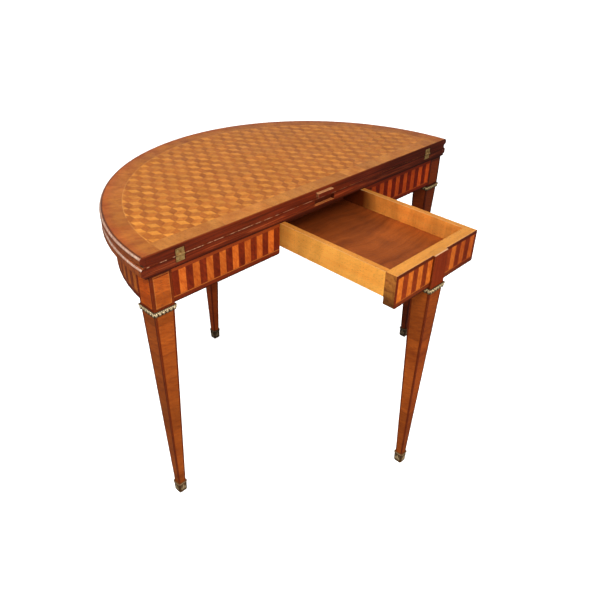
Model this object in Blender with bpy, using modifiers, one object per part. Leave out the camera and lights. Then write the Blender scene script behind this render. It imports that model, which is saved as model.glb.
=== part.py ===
"""Demilune games table in parquetry.

Two half-round leaves lie on a striped apron with tapered legs. The upper leaf folds over on two
edge hinges. A drawer in the straight side carries the leg that stands under the opened leaf.
Metres, +Z up. The straight side faces -Y, and the drawer is drawn out towards -Y.
"""

import math

import bmesh
import bpy
from mathutils import Vector

# Whole table
table_height = 0.750
leaf_radius = 0.560
leaf_thickness = 0.0258

# Clearances
seat_gap = 0.0003
fold_gap = 0.0004
edge_setback = 0.0003
slide_gap = 0.0005
overrun = 0.010

# Edge mouldings, rebated under the leaf's own top
moulding_width = 0.0150
moulding_rebate = 0.0030
band_fillet = 0.0012
upper_lip_width = 0.0065
upper_lip_drop = 0.0008
upper_ovolo_drop = 0.0080
upper_band_drop = 0.0155
upper_cove_depth = 0.0090
upper_cove_foot = 0.0011
lower_lip_width = 0.0085
lower_lip_drop = 0.0004
lower_ovolo_drop = 0.0092
lower_band_drop = 0.0185
lower_cove_depth = 0.0070
lower_cove_foot = 0.0008

# Playing surface
baize_thickness = 0.0012
baize_border = 0.042
baize_edge_band = 0.030

# Tongue and mortise of the straight edge
tongue_offset = -0.0083
tongue_width = 0.0577
tongue_thickness = 0.0115
tongue_rise = 0.01115
tongue_reach = 0.0090
tongue_root = 0.018
tongue_softening = 0.0008
mortise_left_play = 0.0038
mortise_right_play = 0.0135
mortise_top_play = 0.0005
mortise_floor_play = 0.0026
mortise_end_play = 0.0020

# Edge hinges
hinge_inset = 0.099
hinge_width = 0.0225
hinge_plate_height = 0.0155
hinge_plate_thickness = 0.0018
barrel_radius = 0.0026
pin_radius = 0.0010

# Apron
apron_overhang = 0.022
apron_setback = 0.0005
apron_height = 0.0837
straight_apron_thickness = 0.022
curved_apron_thickness = 0.024
corner_radius = 0.0055
apron_end_play = 0.0015
tenon_length = 0.022
tenon_thickness = 0.009
tenon_shoulder = 0.012

# Legs
post_width = 0.0537
end_leg_overhang = 0.019
leg_step = 0.00085
leg_foot_width = 0.0187
leg_softening = 0.0009

# Bronze collars
collar_drop = 0.0040
collar_height = 0.0135
collar_overhang = 0.0042
collar_lip_height = 0.0050
collar_softening = 0.0012
collar_foot = 0.0012
collar_step = 0.0008
collar_cover = 0.0010

# Bronze sabots
sabot_height = 0.036
sabot_wall = 0.0014
sabot_floor = 0.0080
sabot_bead = 0.0012
sabot_bead_height = 0.0042
sabot_toe_width = 0.0050
sabot_toe_height = 0.0085
foot_lift = 0.0005

# Drawer
drawer_half_width = 0.1625
drawer_side_play = 0.0015
drawer_corner_radius = 0.0030
drawer_hold = 0.082
drawer_front_thickness = 0.031
drawer_side_thickness = 0.0145
drawer_side_height = 0.0635
drawer_back_thickness = 0.012
drawer_back_inset = 0.008
drawer_back_drop = 0.0055
drawer_floor_rise = 0.0145
drawer_floor_thickness = 0.006
groove_depth = 0.006
housing_depth = 0.005
dovetail_lap = 0.007
dovetail_count = 3
tail_root_share = 0.46
tail_tip_share = 0.78
post_proud = 0.005
post_housing = 0.014

# Drawer guides, runners and stops
guide_thickness = 0.018
guide_height = 0.0782
runner_width = 0.016
runner_thickness = 0.012
back_rail_thickness = 0.018
back_rail_clearance = 0.0273
stop_width = 0.040
stop_length = 0.014
stop_drop = 0.014
screw_radius = 0.0020
screw_point = 0.0030
screw_bite = 0.012
screw_head_radius = 0.0042
screw_head_height = 0.0022

# Glue blocks in the corner of apron and leaf
block_size = 0.024
block_length = 0.040
curved_block_turn_shares = (0.16, 0.31)

# Fineness of curved work
rim_steps = 48
arc_steps = 20
moulding_steps = 5
round_steps = 4
toe_steps = 6
barrel_sides = 16

# Heights and places that follow from the sizes above
fixed_leaf_top = table_height - leaf_thickness - fold_gap
underside = fixed_leaf_top - leaf_thickness
folding_leaf_bottom = table_height - leaf_thickness
hinge_height = fixed_leaf_top + fold_gap / 2
core_radius = leaf_radius - moulding_width
hinge_offset = leaf_radius - hinge_inset
rail_top = underside - seat_gap
apron_bottom = rail_top - apron_height
apron_radius = leaf_radius - apron_overhang
apron_back = apron_setback + straight_apron_thickness
apron_inner_radius = apron_radius - curved_apron_thickness
apron_middle_radius = apron_radius - curved_apron_thickness / 2
end_leg_face = leaf_radius - end_leg_overhang
leg_top_width = post_width - leg_step * 2
post_back = apron_setback + post_width
post_inner_face = end_leg_face - post_width
tenon_bottom = apron_bottom + tenon_shoulder
tenon_top = rail_top - tenon_shoulder
collar_top = apron_bottom - collar_drop
post_bottom = collar_top - collar_height + collar_cover
guide_bottom = rail_top - guide_height
opening_half_width = drawer_half_width + drawer_side_play
rear_leg_front = apron_radius - post_width
back_rail_front = rear_leg_front - back_rail_clearance - back_rail_thickness
drawer_depth = back_rail_front - slide_gap - apron_setback
drawer_pull = drawer_depth - drawer_hold
drawer_face = apron_setback - drawer_pull
drawer_top = underside - slide_gap
drawer_side_bottom = drawer_top - drawer_side_height
drawer_floor_top = drawer_side_bottom + drawer_floor_rise
drawer_rear = drawer_face + drawer_depth
drawer_inner_half = drawer_half_width - drawer_side_thickness
front_back_face = drawer_face + drawer_front_thickness
tail_root_depth = front_back_face + seat_gap
back_board_rear = drawer_rear - drawer_back_inset
back_board_front = back_board_rear - drawer_back_thickness
floor_bottom = drawer_floor_top - drawer_floor_thickness
runner_top = drawer_side_bottom - seat_gap
stop_rear = back_board_front - slide_gap
stop_bottom = rail_top - stop_drop
end_leg_offset = end_leg_face - post_width / 2
end_leg_depth = apron_setback + post_width / 2
rear_leg_depth = rear_leg_front + post_width / 2
drawer_leg_depth = drawer_face - post_proud + post_width / 2
frontmost = drawer_face - post_proud - collar_overhang
middle_depth = (leaf_radius + frontmost) / 2

# Colours of the woods, metals and cloth, and the shares of full roughness
rosewood = (0.098, 0.020, 0.009)
tulipwood = (0.510, 0.170, 0.045)
parquetry_wood = (0.560, 0.215, 0.060)
drawer_wood = (0.640, 0.300, 0.090)
drawer_floor_wood = (0.330, 0.120, 0.045)
carcass_wood = (0.420, 0.230, 0.110)
tongue_wood = (0.550, 0.360, 0.200)
bronze = (0.330, 0.250, 0.130)
brass = (0.460, 0.380, 0.140)
steel = (0.450, 0.440, 0.420)
baize_green = (0.030, 0.130, 0.060)
polish_share = 0.35
bare_wood_share = 0.60
old_metal_share = 0.40
cloth_share = 0.95

# Empty scene, with one collection for the table and one for its cutters
for old in list(bpy.data.objects):
    bpy.data.objects.remove(old)
table_collection = bpy.data.collections.new("demilune_table")
cutter_collection = bpy.data.collections.new("cutters")
bpy.context.scene.collection.children.link(table_collection)
bpy.context.scene.collection.children.link(cutter_collection)


def empty(name, home, parent=None):
    """An empty at its home, a place in table coordinates."""
    frame = bpy.data.objects.new(name, None)
    table_collection.objects.link(frame)
    frame["home"] = home
    frame.parent = parent
    frame.location = Vector(home) - Vector(parent["home"]) if parent else Vector(home)
    return frame


# The table's frame puts the middle of the whole depth over the world's origin
table = empty("table_frame", (0, 0, 0))
table.location = (0, -middle_depth, 0)
folding = empty("leaf_hinge_axis", (0, 0, hinge_height), table)
drawer = empty("drawer_slide_axis", (0, drawer_face, drawer_top), table)


def finish(name, colour, roughness, metal):
    """A plain Principled material."""
    look = bpy.data.materials.new(name)
    look.use_nodes = True
    shader = look.node_tree.nodes["Principled BSDF"]
    shader.inputs["Base Color"].default_value = (*colour, 1)
    shader.inputs["Roughness"].default_value = roughness
    shader.inputs["Metallic"].default_value = metal
    look.diffuse_color = (*colour, 1)
    return look


def add_object(name, mesh, frame, place, look=None, turn=(0, 0, 0)):
    """Link a mesh as a named piece, or as a cutter where no look is given."""
    piece = bpy.data.objects.new(name, mesh)
    piece.parent = frame
    piece.location = Vector(place) - Vector(frame["home"])
    piece.rotation_euler = turn
    if look is None:
        cutter_collection.objects.link(piece)
        piece.hide_render = True
        piece.display_type = "WIRE"
    else:
        table_collection.objects.link(piece)
        mesh.materials.append(finish(name, *look))
    return piece


def rounded(mesh):
    """Smooth shading between faces that turn gently."""
    mesh.shade_smooth()
    mesh.set_sharp_from_angle(angle=math.pi / 6)


def box(name, low, high, frame, look=None, turn=(0, 0, 0)):
    """A cube primitive between two corners in table coordinates, turned about its middle."""
    low, high = Vector(low), Vector(high)
    shape = bmesh.new()
    bmesh.ops.create_cube(shape, size=1)
    bmesh.ops.scale(shape, vec=high - low, verts=shape.verts)
    mesh = bpy.data.meshes.new(name)
    shape.to_mesh(mesh)
    shape.free()
    return add_object(name, mesh, frame, (low + high) / 2, look, turn)


def rod(name, radius, start, end, turn, frame, look=None):
    """A cylinder primitive between two points in table coordinates."""
    start, end = Vector(start), Vector(end)
    shape = bmesh.new()
    bmesh.ops.create_cone(
        shape, cap_ends=True, segments=barrel_sides, radius1=radius, radius2=radius,
        depth=(end - start).length)
    mesh = bpy.data.meshes.new(name)
    shape.to_mesh(mesh)
    shape.free()
    rounded(mesh)
    return add_object(name, mesh, frame, (start + end) / 2, look, turn)


def plate(name, outline, thickness, normal, place, frame, look=None):
    """A flat outline in table coordinates, extruded both ways along its normal.

    The outline's points are (x, y) for normal Z, (x, z) for normal Y and (y, z) for normal X.
    """
    curve = bpy.data.curves.new(name, "CURVE")
    curve.dimensions = "2D"
    curve.fill_mode = "BOTH"
    curve.extrude = thickness / 2
    spline = curve.splines.new("POLY")
    spline.points.add(len(outline) - 1)
    for point, (across, along) in zip(spline.points, outline):
        point.co = (across, along, 0, 1)
    spline.use_cyclic_u = True
    drawn = bpy.data.objects.new(name + "_outline", curve)
    cutter_collection.objects.link(drawn)
    bpy.context.view_layer.update()
    evaluated = drawn.evaluated_get(bpy.context.evaluated_depsgraph_get())
    mesh = bpy.data.meshes.new_from_object(evaluated)
    bpy.data.objects.remove(drawn)
    shape = bmesh.new()
    shape.from_mesh(mesh)
    bmesh.ops.remove_doubles(shape, verts=shape.verts, dist=seat_gap / 10)
    shape.to_mesh(mesh)
    shape.free()
    rounded(mesh)
    quarter = math.pi / 2
    turn = {"Z": (0, 0, 0), "Y": (quarter, 0, 0), "X": (quarter, 0, quarter)}[normal]
    return add_object(name, mesh, frame, place, look, turn)


def turned(name, profile, steps, place, frame, look=None, turn=(0, 0, 0)):
    """A profile of (radius, height) points, down its outer side, swept about Z.

    A profile that doesn't start on the axis is closed into a ring.
    """
    mesh = bpy.data.meshes.new(name)
    shape = bmesh.new()
    corners = [shape.verts.new((radius, 0, height)) for radius, height in profile]
    for first, second in zip(corners, corners[1:]):
        shape.edges.new((first, second))
    if profile[0][0] > 0:
        shape.edges.new((corners[-1], corners[0]))
    shape.to_mesh(mesh)
    shape.free()
    piece = add_object(name, mesh, frame, place, look, turn)
    screw = piece.modifiers.new("turning", "SCREW")
    screw.steps = steps
    screw.render_steps = steps
    screw.use_merge_vertices = True
    screw.merge_threshold = seat_gap / 10
    screw.use_smooth_shade = False
    return piece


def squared(name, profile, place, frame, look=None):
    """A profile of (half width, height) points mitred round a square, in four turned steps."""
    corner_profile = [(half * math.sqrt(2), height) for half, height in profile]
    return turned(name, corner_profile, 4, place, frame, look, (0, 0, math.pi / 4))


def arc(centre, radii, start, end, steps):
    """Points along an ellipse's arc, its two ends included."""
    points = []
    for step in range(steps + 1):
        angle = start + (end - start) * step / steps
        points.append((centre[0] + radii[0] * math.cos(angle),
                       centre[1] + radii[1] * math.sin(angle)))
    return points


def boolean(piece, other, operation, label):
    """A live exact Boolean."""
    change = piece.modifiers.new(label + other.name, "BOOLEAN")
    change.operation = operation
    change.solver = "EXACT"
    change.object = other


def cut(piece, *cutters):
    """Take cutters away from a piece."""
    for cutter in cutters:
        boolean(piece, cutter, "DIFFERENCE", "cut_")


def join(piece, *shapes):
    """Grow a piece by other closed shapes."""
    for shape in shapes:
        boolean(piece, shape, "UNION", "join_")


def soften(piece, width):
    """Take the sharpness off a piece's arrises."""
    bevel = piece.modifiers.new("softened_arrises", "BEVEL")
    bevel.width = width
    bevel.segments = 1
    bevel.limit_method = "ANGLE"


def grown(low, high, gap):
    """A box's two corners, moved out by a gap."""
    by = Vector((gap, gap, gap))
    return Vector(low) - by, Vector(high) + by


def mirrored(low, high, side):
    """A right-hand box's two corners, or their mirror image for side -1."""
    if side > 0:
        return low, high
    return (-high[0], low[1], low[2]), (-low[0], high[1], high[2])


# Shared looks
polished_rosewood = (rosewood, polish_share, 0)
polished_tulipwood = (tulipwood, polish_share, 0)
polished_parquetry = (parquetry_wood, polish_share, 0)
waxed_drawer_wood = (drawer_wood, bare_wood_share, 0)
bare_wood = (carcass_wood, bare_wood_share, 0)
aged_bronze = (bronze, old_metal_share, 1)
old_brass = (brass, old_metal_share, 1)

# Leaves with their applied edge mouldings


def front_cutter(name, bottom, frame):
    """Everything on the near side of a leaf's straight edge."""
    reach = leaf_radius + overrun
    return box(name, (-reach, -reach, bottom - overrun),
               (reach, edge_setback, bottom + leaf_thickness + overrun), frame)


def half_disc(radius, chord):
    """Outline of the part of a disc behind a chord parallel to X."""
    start = math.asin(chord / radius)
    return arc((0, 0), (radius, radius), start, math.pi - start, rim_steps)


def leaf_board(name, bottom, meeting_face, lip_width, frame, look):
    """A half-round board with a rebated rim and a shallow recess in its meeting face."""
    top = bottom + leaf_thickness
    lip = leaf_radius - lip_width - seat_gap
    rebate = top - moulding_rebate + seat_gap
    profile = [(0, top), (lip, top), (lip, rebate), (core_radius, rebate),
               (core_radius, bottom), (0, bottom)]
    board = turned(name, profile, rim_steps * 2, (0, 0, 0), frame, look)
    recess = plate(name + "_recess", half_disc(leaf_radius - baize_border, baize_edge_band),
                   (baize_thickness + seat_gap) * 2, "Z", (0, 0, meeting_face), frame)
    cut(board, front_cutter(name + "_front", bottom, frame), recess)
    return board


def edge_moulding(name, bottom, lip_width, lip_drop, ovolo_drop, band_drop, cove_depth,
                  cove_foot, frame):
    """An ovolo and a band over a cove, turned all round and cut off at the straight edge."""
    top = bottom + leaf_thickness
    inner = core_radius + seat_gap
    lip = leaf_radius - lip_width
    band_bottom = top - band_drop
    foot = bottom + cove_foot
    ovolo = arc((lip, top - ovolo_drop), (lip_width, ovolo_drop - lip_drop),
                math.pi / 2, 0, moulding_steps)
    cove = arc((leaf_radius - band_fillet, foot), (cove_depth - band_fillet, band_bottom - foot),
               math.pi / 2, math.pi, moulding_steps)
    profile = [*ovolo, (leaf_radius, band_bottom), *cove, (leaf_radius - cove_depth, bottom),
               (inner, bottom), (inner, top - moulding_rebate), (lip, top - moulding_rebate)]
    ring = turned(name, profile, rim_steps * 2, (0, 0, 0), frame, polished_rosewood)
    cut(ring, front_cutter(name + "_front", bottom, frame))
    return ring


def baize(name, face, side, frame):
    """The cloth in a leaf's recess, level with the leaf's meeting face."""
    outline = half_disc(leaf_radius - baize_border - seat_gap, baize_edge_band + seat_gap)
    return plate(name, outline, baize_thickness, "Z", (0, 0, face + side * baize_thickness / 2),
                 frame, (baize_green, cloth_share, 0))


def tongue_box(name, depths, side_plays, plays, side, frame, look=None):
    """The tongue's section with play round it, in the upper leaf (side 1) or the lower (-1).

    The depths are front and back, the side plays left and right, and the plays low and high.
    """
    left = tongue_offset - tongue_width / 2 - side_plays[0]
    right = tongue_offset + tongue_width / 2 + side_plays[1]
    middle = hinge_height + side * tongue_rise
    half = tongue_thickness / 2
    return box(name, (left, depths[0], middle - half - plays[0]),
               (right, depths[1], middle + half + plays[1]), frame, look)


def tongue():
    """The hardwood tongue let into the folding leaf's straight edge."""
    piece = tongue_box("leaf_tongue", (-tongue_reach, tongue_root), (0, 0), (0, 0), 1, folding,
                       (tongue_wood, bare_wood_share, 0))
    soften(piece, tongue_softening)
    gaps = (seat_gap, seat_gap)
    cut(folding_leaf, tongue_box("tongue_socket", (-overrun, tongue_root + seat_gap), gaps, gaps,
                                 1, folding))


def tongue_mortise():
    """The fixed leaf's mortise, deep and low enough for the tongue's swing."""
    cut(fixed_leaf, tongue_box("tongue_mortise", (-overrun, tongue_reach + mortise_end_play),
                               (mortise_left_play, mortise_right_play),
                               (mortise_floor_play, mortise_top_play), -1, table))


fixed_leaf = leaf_board("fixed_leaf", underside, fixed_leaf_top, lower_lip_width, table,
                        polished_rosewood)
folding_leaf = leaf_board("folding_leaf", folding_leaf_bottom, folding_leaf_bottom,
                          upper_lip_width, folding, polished_parquetry)
edge_moulding("fixed_leaf_moulding", underside, lower_lip_width, lower_lip_drop,
              lower_ovolo_drop, lower_band_drop, lower_cove_depth, lower_cove_foot, table)
edge_moulding("folding_leaf_moulding", folding_leaf_bottom, upper_lip_width, upper_lip_drop,
              upper_ovolo_drop, upper_band_drop, upper_cove_depth, upper_cove_foot, folding)
baize("fixed_baize", fixed_leaf_top, -1, table)
baize("folding_baize", folding_leaf_bottom, 1, folding)
tongue()
tongue_mortise()

# Hinges let into the straight edges


def barrel(name, radius, start, end, frame, look=None):
    """A cylinder on the hinge line between two places along X."""
    return rod(name, radius, (start, 0, hinge_height), (end, 0, hinge_height),
               (0, math.pi / 2, 0), frame, look)


def hinge_recess(leaf, name, centre, frame, side):
    """One leaf's seat for its hinge plate and the room for the barrels."""
    half = hinge_width / 2 + seat_gap
    far = hinge_height + side * (hinge_plate_height + seat_gap)
    low, high = sorted((far, hinge_height - side * overrun))
    depth = edge_setback + hinge_plate_thickness + seat_gap
    seat = box(name + "_seat", (centre - half, -overrun, low), (centre + half, depth, high), frame)
    room = barrel(name + "_room", barrel_radius + seat_gap, centre - half, centre + half, frame)
    cut(leaf, seat, room)


def hinge_plate(name, centre, frame, side):
    """The plate in one leaf's straight edge, before its barrels."""
    low, high = sorted((hinge_height + side * fold_gap / 2,
                        hinge_height + side * hinge_plate_height))
    return box(name, (centre - hinge_width / 2, edge_setback, low),
               (centre + hinge_width / 2, edge_setback + hinge_plate_thickness, high),
               frame, old_brass)


def hinge_fixed(name, centre):
    """The lower plate with the two outer barrels."""
    piece = hinge_plate(name, centre, table, -1)
    half = hinge_width / 2
    end = hinge_width / 6 + seat_gap / 2
    cut(piece, barrel(name + "_middle_room", barrel_radius + seat_gap, centre - end,
                      centre + end, table))
    join(piece, barrel(name + "_barrel_left", barrel_radius, centre - half, centre - end, table),
         barrel(name + "_barrel_right", barrel_radius, centre + end, centre + half, table))
    cut(piece, barrel(name + "_bore", pin_radius + seat_gap, centre - half - overrun,
                      centre + half + overrun, table))


def hinge_moving(name, centre):
    """The upper plate with the middle barrel."""
    piece = hinge_plate(name, centre, folding, 1)
    outer = hinge_width / 2 + overrun
    end = hinge_width / 6 - seat_gap / 2
    room = barrel_radius + seat_gap
    cut(piece, barrel(name + "_room_left", room, centre - outer, centre - end, folding),
        barrel(name + "_room_right", room, centre + end, centre + outer, folding))
    join(piece, barrel(name + "_barrel", barrel_radius, centre - end, centre + end, folding))
    cut(piece, barrel(name + "_bore", pin_radius + seat_gap, centre - outer, centre + outer,
                      folding))


def hinge(side_name, centre):
    """One complete edge hinge with its pin."""
    hinge_recess(fixed_leaf, "lower_recess_" + side_name, centre, table, -1)
    hinge_recess(folding_leaf, "upper_recess_" + side_name, centre, folding, 1)
    hinge_fixed("hinge_fixed_" + side_name, centre)
    hinge_moving("hinge_moving_" + side_name, centre)
    barrel("hinge_pin_" + side_name, pin_radius, centre - hinge_width / 2,
           centre + hinge_width / 2, table, (steel, old_metal_share, 1))


hinge("left", -hinge_offset)
hinge("right", hinge_offset)

# Legs with their collars and sabots


def leg_half_at(height):
    """Half the tapered leg's width at a height over the leg's foot."""
    return (leg_foot_width + (leg_top_width - leg_foot_width) * height / post_bottom) / 2


def leg(name, place, top, frame):
    """A square post over a tapered leg. The step between them hides in the collar."""
    foot = sabot_floor + seat_gap
    profile = [(0, top), (post_width / 2, top), (post_width / 2, post_bottom),
               (leg_top_width / 2, post_bottom), (leg_half_at(foot), foot), (0, foot)]
    piece = squared(name, profile, place, frame, polished_tulipwood)
    soften(piece, leg_softening)
    return piece


def collar(name, place, frame):
    """A mitred square ring round the post: a rounded lip over a cove."""
    inner = post_width / 2 + seat_gap
    outer = post_width / 2 + collar_overhang
    bottom = collar_top - collar_height
    lip_bottom = collar_top - collar_lip_height
    lip = arc((outer - collar_softening, collar_top - collar_softening),
              (collar_softening, collar_softening), math.pi / 2, 0, round_steps)
    cove_out = outer - collar_step
    cove = arc((cove_out, bottom), (cove_out - inner - collar_foot, lip_bottom - bottom),
               math.pi / 2, math.pi, round_steps)
    profile = [(inner, collar_top), *lip, (outer, lip_bottom), *cove, (inner, bottom)]
    return squared(name, profile, place, frame, aged_bronze)


def sabot(name, place, frame):
    """A tapered bronze cup round the leg's foot, with a bead at its mouth and a rounded toe."""
    shell = seat_gap + sabot_wall
    mouth = leg_half_at(sabot_height) + shell
    toe = leg_half_at(sabot_toe_height) + shell
    bead_half = sabot_bead_height / 2
    bead = arc((mouth, sabot_height - bead_half), (sabot_bead, bead_half),
               math.pi / 2, -math.pi / 2, round_steps)
    sole = arc((toe - sabot_toe_width, sabot_toe_height), (sabot_toe_width, sabot_toe_height),
               0, -math.pi / 2, toe_steps)
    profile = [(0, sabot_floor), (leg_half_at(sabot_floor) + seat_gap, sabot_floor),
               (leg_half_at(sabot_height) + seat_gap, sabot_height), *bead, *sole, (0, 0)]
    return squared(name, profile, place, frame, aged_bronze)


def leg_set(side_name, place, top, frame):
    """A leg with its collar and sabot."""
    piece = leg("leg_" + side_name, place, top, frame)
    collar("collar_" + side_name, place, frame)
    sabot("sabot_" + side_name, place, frame)
    return piece


leg_left = leg_set("left", (-end_leg_offset, end_leg_depth, 0), rail_top, table)
leg_right = leg_set("right", (end_leg_offset, end_leg_depth, 0), rail_top, table)
leg_rear = leg_set("rear", (0, rear_leg_depth, 0), rail_top, table)
leg_drawer = leg_set("drawer", (0, drawer_leg_depth, foot_lift), drawer_top - foot_lift, drawer)

# Aprons, tenoned into the legs


def board_outline(left, right, low, high, left_radius, right_radius):
    """A board's face, with its lower corners rounded where a radius is given."""
    lower_left = [(left, low)]
    if left_radius > 0:
        lower_left = arc((left + left_radius, low + left_radius), (left_radius, left_radius),
                         math.pi, math.pi * 1.5, round_steps)
    lower_right = [(right, low)]
    if right_radius > 0:
        lower_right = arc((right - right_radius, low + right_radius),
                          (right_radius, right_radius), -math.pi / 2, 0, round_steps)
    return [(left, high), *lower_left, *lower_right, (right, high)]


def tenon(apron, post, name, low, high, side):
    """A tenon on an apron and its mortise in a leg."""
    low, high = mirrored(low, high, side)
    join(apron, box(name + "_tenon", low, high, table))
    cut(post, box(name + "_mortise", *grown(low, high, seat_gap), table))


def straight_apron(side_name, side, post):
    """The board between an end leg and the drawer's opening."""
    start = opening_half_width + apron_end_play
    end = post_inner_face - seat_gap
    middle = apron_setback + straight_apron_thickness / 2
    if side > 0:
        outline = board_outline(start, end, apron_bottom, rail_top, corner_radius, 0)
    else:
        outline = board_outline(-end, -start, apron_bottom, rail_top, 0, corner_radius)
    name = side_name + "_apron"
    piece = plate(name, outline, straight_apron_thickness, "Y", (0, middle, 0), table,
                  polished_tulipwood)
    tenon(piece, post, name,
          (post_inner_face - tenon_shoulder, middle - tenon_thickness / 2, tenon_bottom),
          (post_inner_face + tenon_length, middle + tenon_thickness / 2, tenon_top), side)


def curved_apron(side_name, side, end_post):
    """The quarter ring between an end leg and the rear leg."""
    near = post_back + seat_gap
    far = post_width / 2 + seat_gap
    outer = arc((0, 0), (apron_radius, apron_radius), math.asin(near / apron_radius),
                math.acos(far / apron_radius), arc_steps)
    inner = arc((0, 0), (apron_inner_radius, apron_inner_radius),
                math.acos(far / apron_inner_radius), math.asin(near / apron_inner_radius),
                arc_steps)
    outline = [(side * across, along) for across, along in outer + inner]
    name = "curved_apron_" + side_name
    piece = plate(name, outline, rail_top - apron_bottom, "Z",
                  (0, 0, (apron_bottom + rail_top) / 2), table, polished_tulipwood)
    half = tenon_thickness / 2
    across = math.sqrt(apron_middle_radius ** 2 - post_back ** 2)
    tenon(piece, end_post, name + "_end",
          (across - half, post_back - tenon_length, tenon_bottom),
          (across + half, post_back + tenon_shoulder, tenon_top), side)
    along = math.sqrt(apron_middle_radius ** 2 - (post_width / 2) ** 2)
    tenon(piece, leg_rear, name + "_rear",
          (post_width / 2 - tenon_length, along - half, tenon_bottom),
          (post_width / 2 + tenon_shoulder, along + half, tenon_top), side)


for side_name, side, end_post in (("left", -1, leg_left), ("right", 1, leg_right)):
    straight_apron(side_name, side, end_post)
    curved_apron(side_name, side, end_post)

# Inner woodwork that guides, carries and stops the drawer


def guide(side_name, side):
    """A board beside the drawer, from the straight apron to the curved one."""
    inner = opening_half_width
    outer = inner + guide_thickness
    reach = apron_inner_radius - seat_gap
    near = apron_back + seat_gap
    outline = [(side * inner, near), (side * outer, near),
               (side * outer, math.sqrt(reach ** 2 - outer ** 2)),
               (side * inner, math.sqrt(reach ** 2 - inner ** 2))]
    plate("guide_" + side_name, outline, rail_top - guide_bottom, "Z",
          (0, 0, (guide_bottom + rail_top) / 2), table, bare_wood)


def runner(side_name, side):
    """The strip under one drawer side, behind the closed drawer's front."""
    outer = opening_half_width - seat_gap
    near = apron_setback + drawer_front_thickness + slide_gap
    low, high = mirrored((outer - runner_width, near, runner_top - runner_thickness),
                         (outer, back_rail_front - seat_gap, runner_top), side)
    box("runner_" + side_name, low, high, table, bare_wood)


def back_rail():
    """The rail behind the closed drawer, between the guides."""
    half = opening_half_width - seat_gap
    box("back_rail", (-half, back_rail_front, guide_bottom),
        (half, back_rail_front + back_rail_thickness, rail_top), table, bare_wood)


def drawer_stop():
    """The block under the fixed leaf that meets the drawer's back when it is fully out."""
    return box("drawer_stop", (-stop_width / 2, stop_rear - stop_length, stop_bottom),
               (stop_width / 2, stop_rear, rail_top), table, bare_wood)


def stop_screw(block):
    """The screw up through the stop block into the fixed leaf."""
    place = (0, stop_rear - stop_length / 2, 0)
    tip = underside + screw_bite
    neck = stop_bottom - seat_gap
    profile = [(0, tip), (screw_radius, tip - screw_point), (screw_radius, neck),
               (screw_head_radius, neck), (screw_head_radius, neck - screw_head_height),
               (0, neck - screw_head_height)]
    turned("stop_screw", profile, barrel_sides, place, table, (steel, old_metal_share, 1))
    hole_radius = screw_radius + seat_gap
    hole = [(0, tip + seat_gap), (hole_radius, tip - screw_point + seat_gap),
            (hole_radius, neck - overrun), (0, neck - overrun)]
    cut(block, turned("stop_hole", hole, barrel_sides, place, table))
    cut(fixed_leaf, turned("pilot_hole", hole, barrel_sides, place, table))


def straight_block(side_name, side):
    """A glue block behind the middle of a straight apron."""
    middle = side * (opening_half_width + guide_thickness + post_inner_face) / 2
    near = apron_back + seat_gap
    box("glue_block_" + side_name,
        (middle - block_length / 2, near, rail_top - block_size),
        (middle + block_length / 2, near + block_size, rail_top), table, bare_wood)


def curved_block(name, angle):
    """A glue block whose outer corners touch the curved apron."""
    face = math.sqrt((apron_inner_radius - seat_gap) ** 2 - (block_length / 2) ** 2)
    distance = face - block_size / 2
    centre = Vector((distance * math.cos(angle), distance * math.sin(angle),
                     rail_top - block_size / 2))
    half = Vector((block_size, block_length, block_size)) / 2
    box(name, centre - half, centre + half, table, bare_wood, (0, 0, angle))


for side_name, side in (("left", -1), ("right", 1)):
    guide(side_name, side)
    runner(side_name, side)
    straight_block(side_name, side)
    for number, turn_share in enumerate(curved_block_turn_shares, start=1):
        angle = math.pi * turn_share
        curved_block(f"glue_block_{side_name}_{number}", angle if side > 0 else math.pi - angle)
back_rail()
stop_screw(drawer_stop())

# Drawer with its dovetailed front


def side_outline(low, high, tip, rear, gap):
    """A drawer side from its rear end to its dovetails, grown by a gap where it cuts a socket."""
    pitch = (drawer_top - drawer_side_bottom) / dovetail_count
    root_half = pitch * tail_root_share / 2 + gap
    tip_half = pitch * tail_tip_share / 2 + gap
    outline = [(rear, low), (tail_root_depth, low)]
    for number in range(dovetail_count):
        middle = drawer_side_bottom + pitch / 2 + pitch * number
        outline += [(tail_root_depth, middle - root_half), (tip, middle - tip_half),
                    (tip, middle + tip_half), (tail_root_depth, middle + root_half)]
    return outline + [(tail_root_depth, high), (rear, high)]


def floor_groove(name, half, near, far):
    """The room of the drawer's floor, out to a half width and between two depths."""
    return box(name, (-half, near, floor_bottom - seat_gap),
               (half, far, drawer_floor_top + seat_gap), drawer)


def drawer_front():
    """The front board, with sockets for the sides, a groove and a housing for the leg's post."""
    outline = board_outline(-drawer_half_width, drawer_half_width, apron_bottom, drawer_top,
                            drawer_corner_radius, drawer_corner_radius)
    piece = plate("drawer_front", outline, drawer_front_thickness, "Y",
                  (0, drawer_face + drawer_front_thickness / 2, 0), drawer, polished_tulipwood)
    half = post_width / 2 + seat_gap
    cut(piece, box("post_housing", (-half, drawer_face - overrun, apron_bottom - overrun),
                   (half, drawer_face + post_housing + seat_gap, drawer_top + overrun), drawer))
    socket = side_outline(drawer_side_bottom - overrun, drawer_top + overrun,
                          drawer_face + dovetail_lap, front_back_face + overrun, seat_gap)
    socket_inner = drawer_inner_half - seat_gap
    socket_outer = drawer_half_width + overrun
    middle = (socket_inner + socket_outer) / 2
    for side_name, side in (("left", -1), ("right", 1)):
        cut(piece, plate("sockets_" + side_name, socket, socket_outer - socket_inner, "X",
                         (side * middle, 0, 0), drawer))
    cut(piece, floor_groove("front_groove", drawer_inner_half + groove_depth,
                            front_back_face - groove_depth, front_back_face + overrun))


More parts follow.
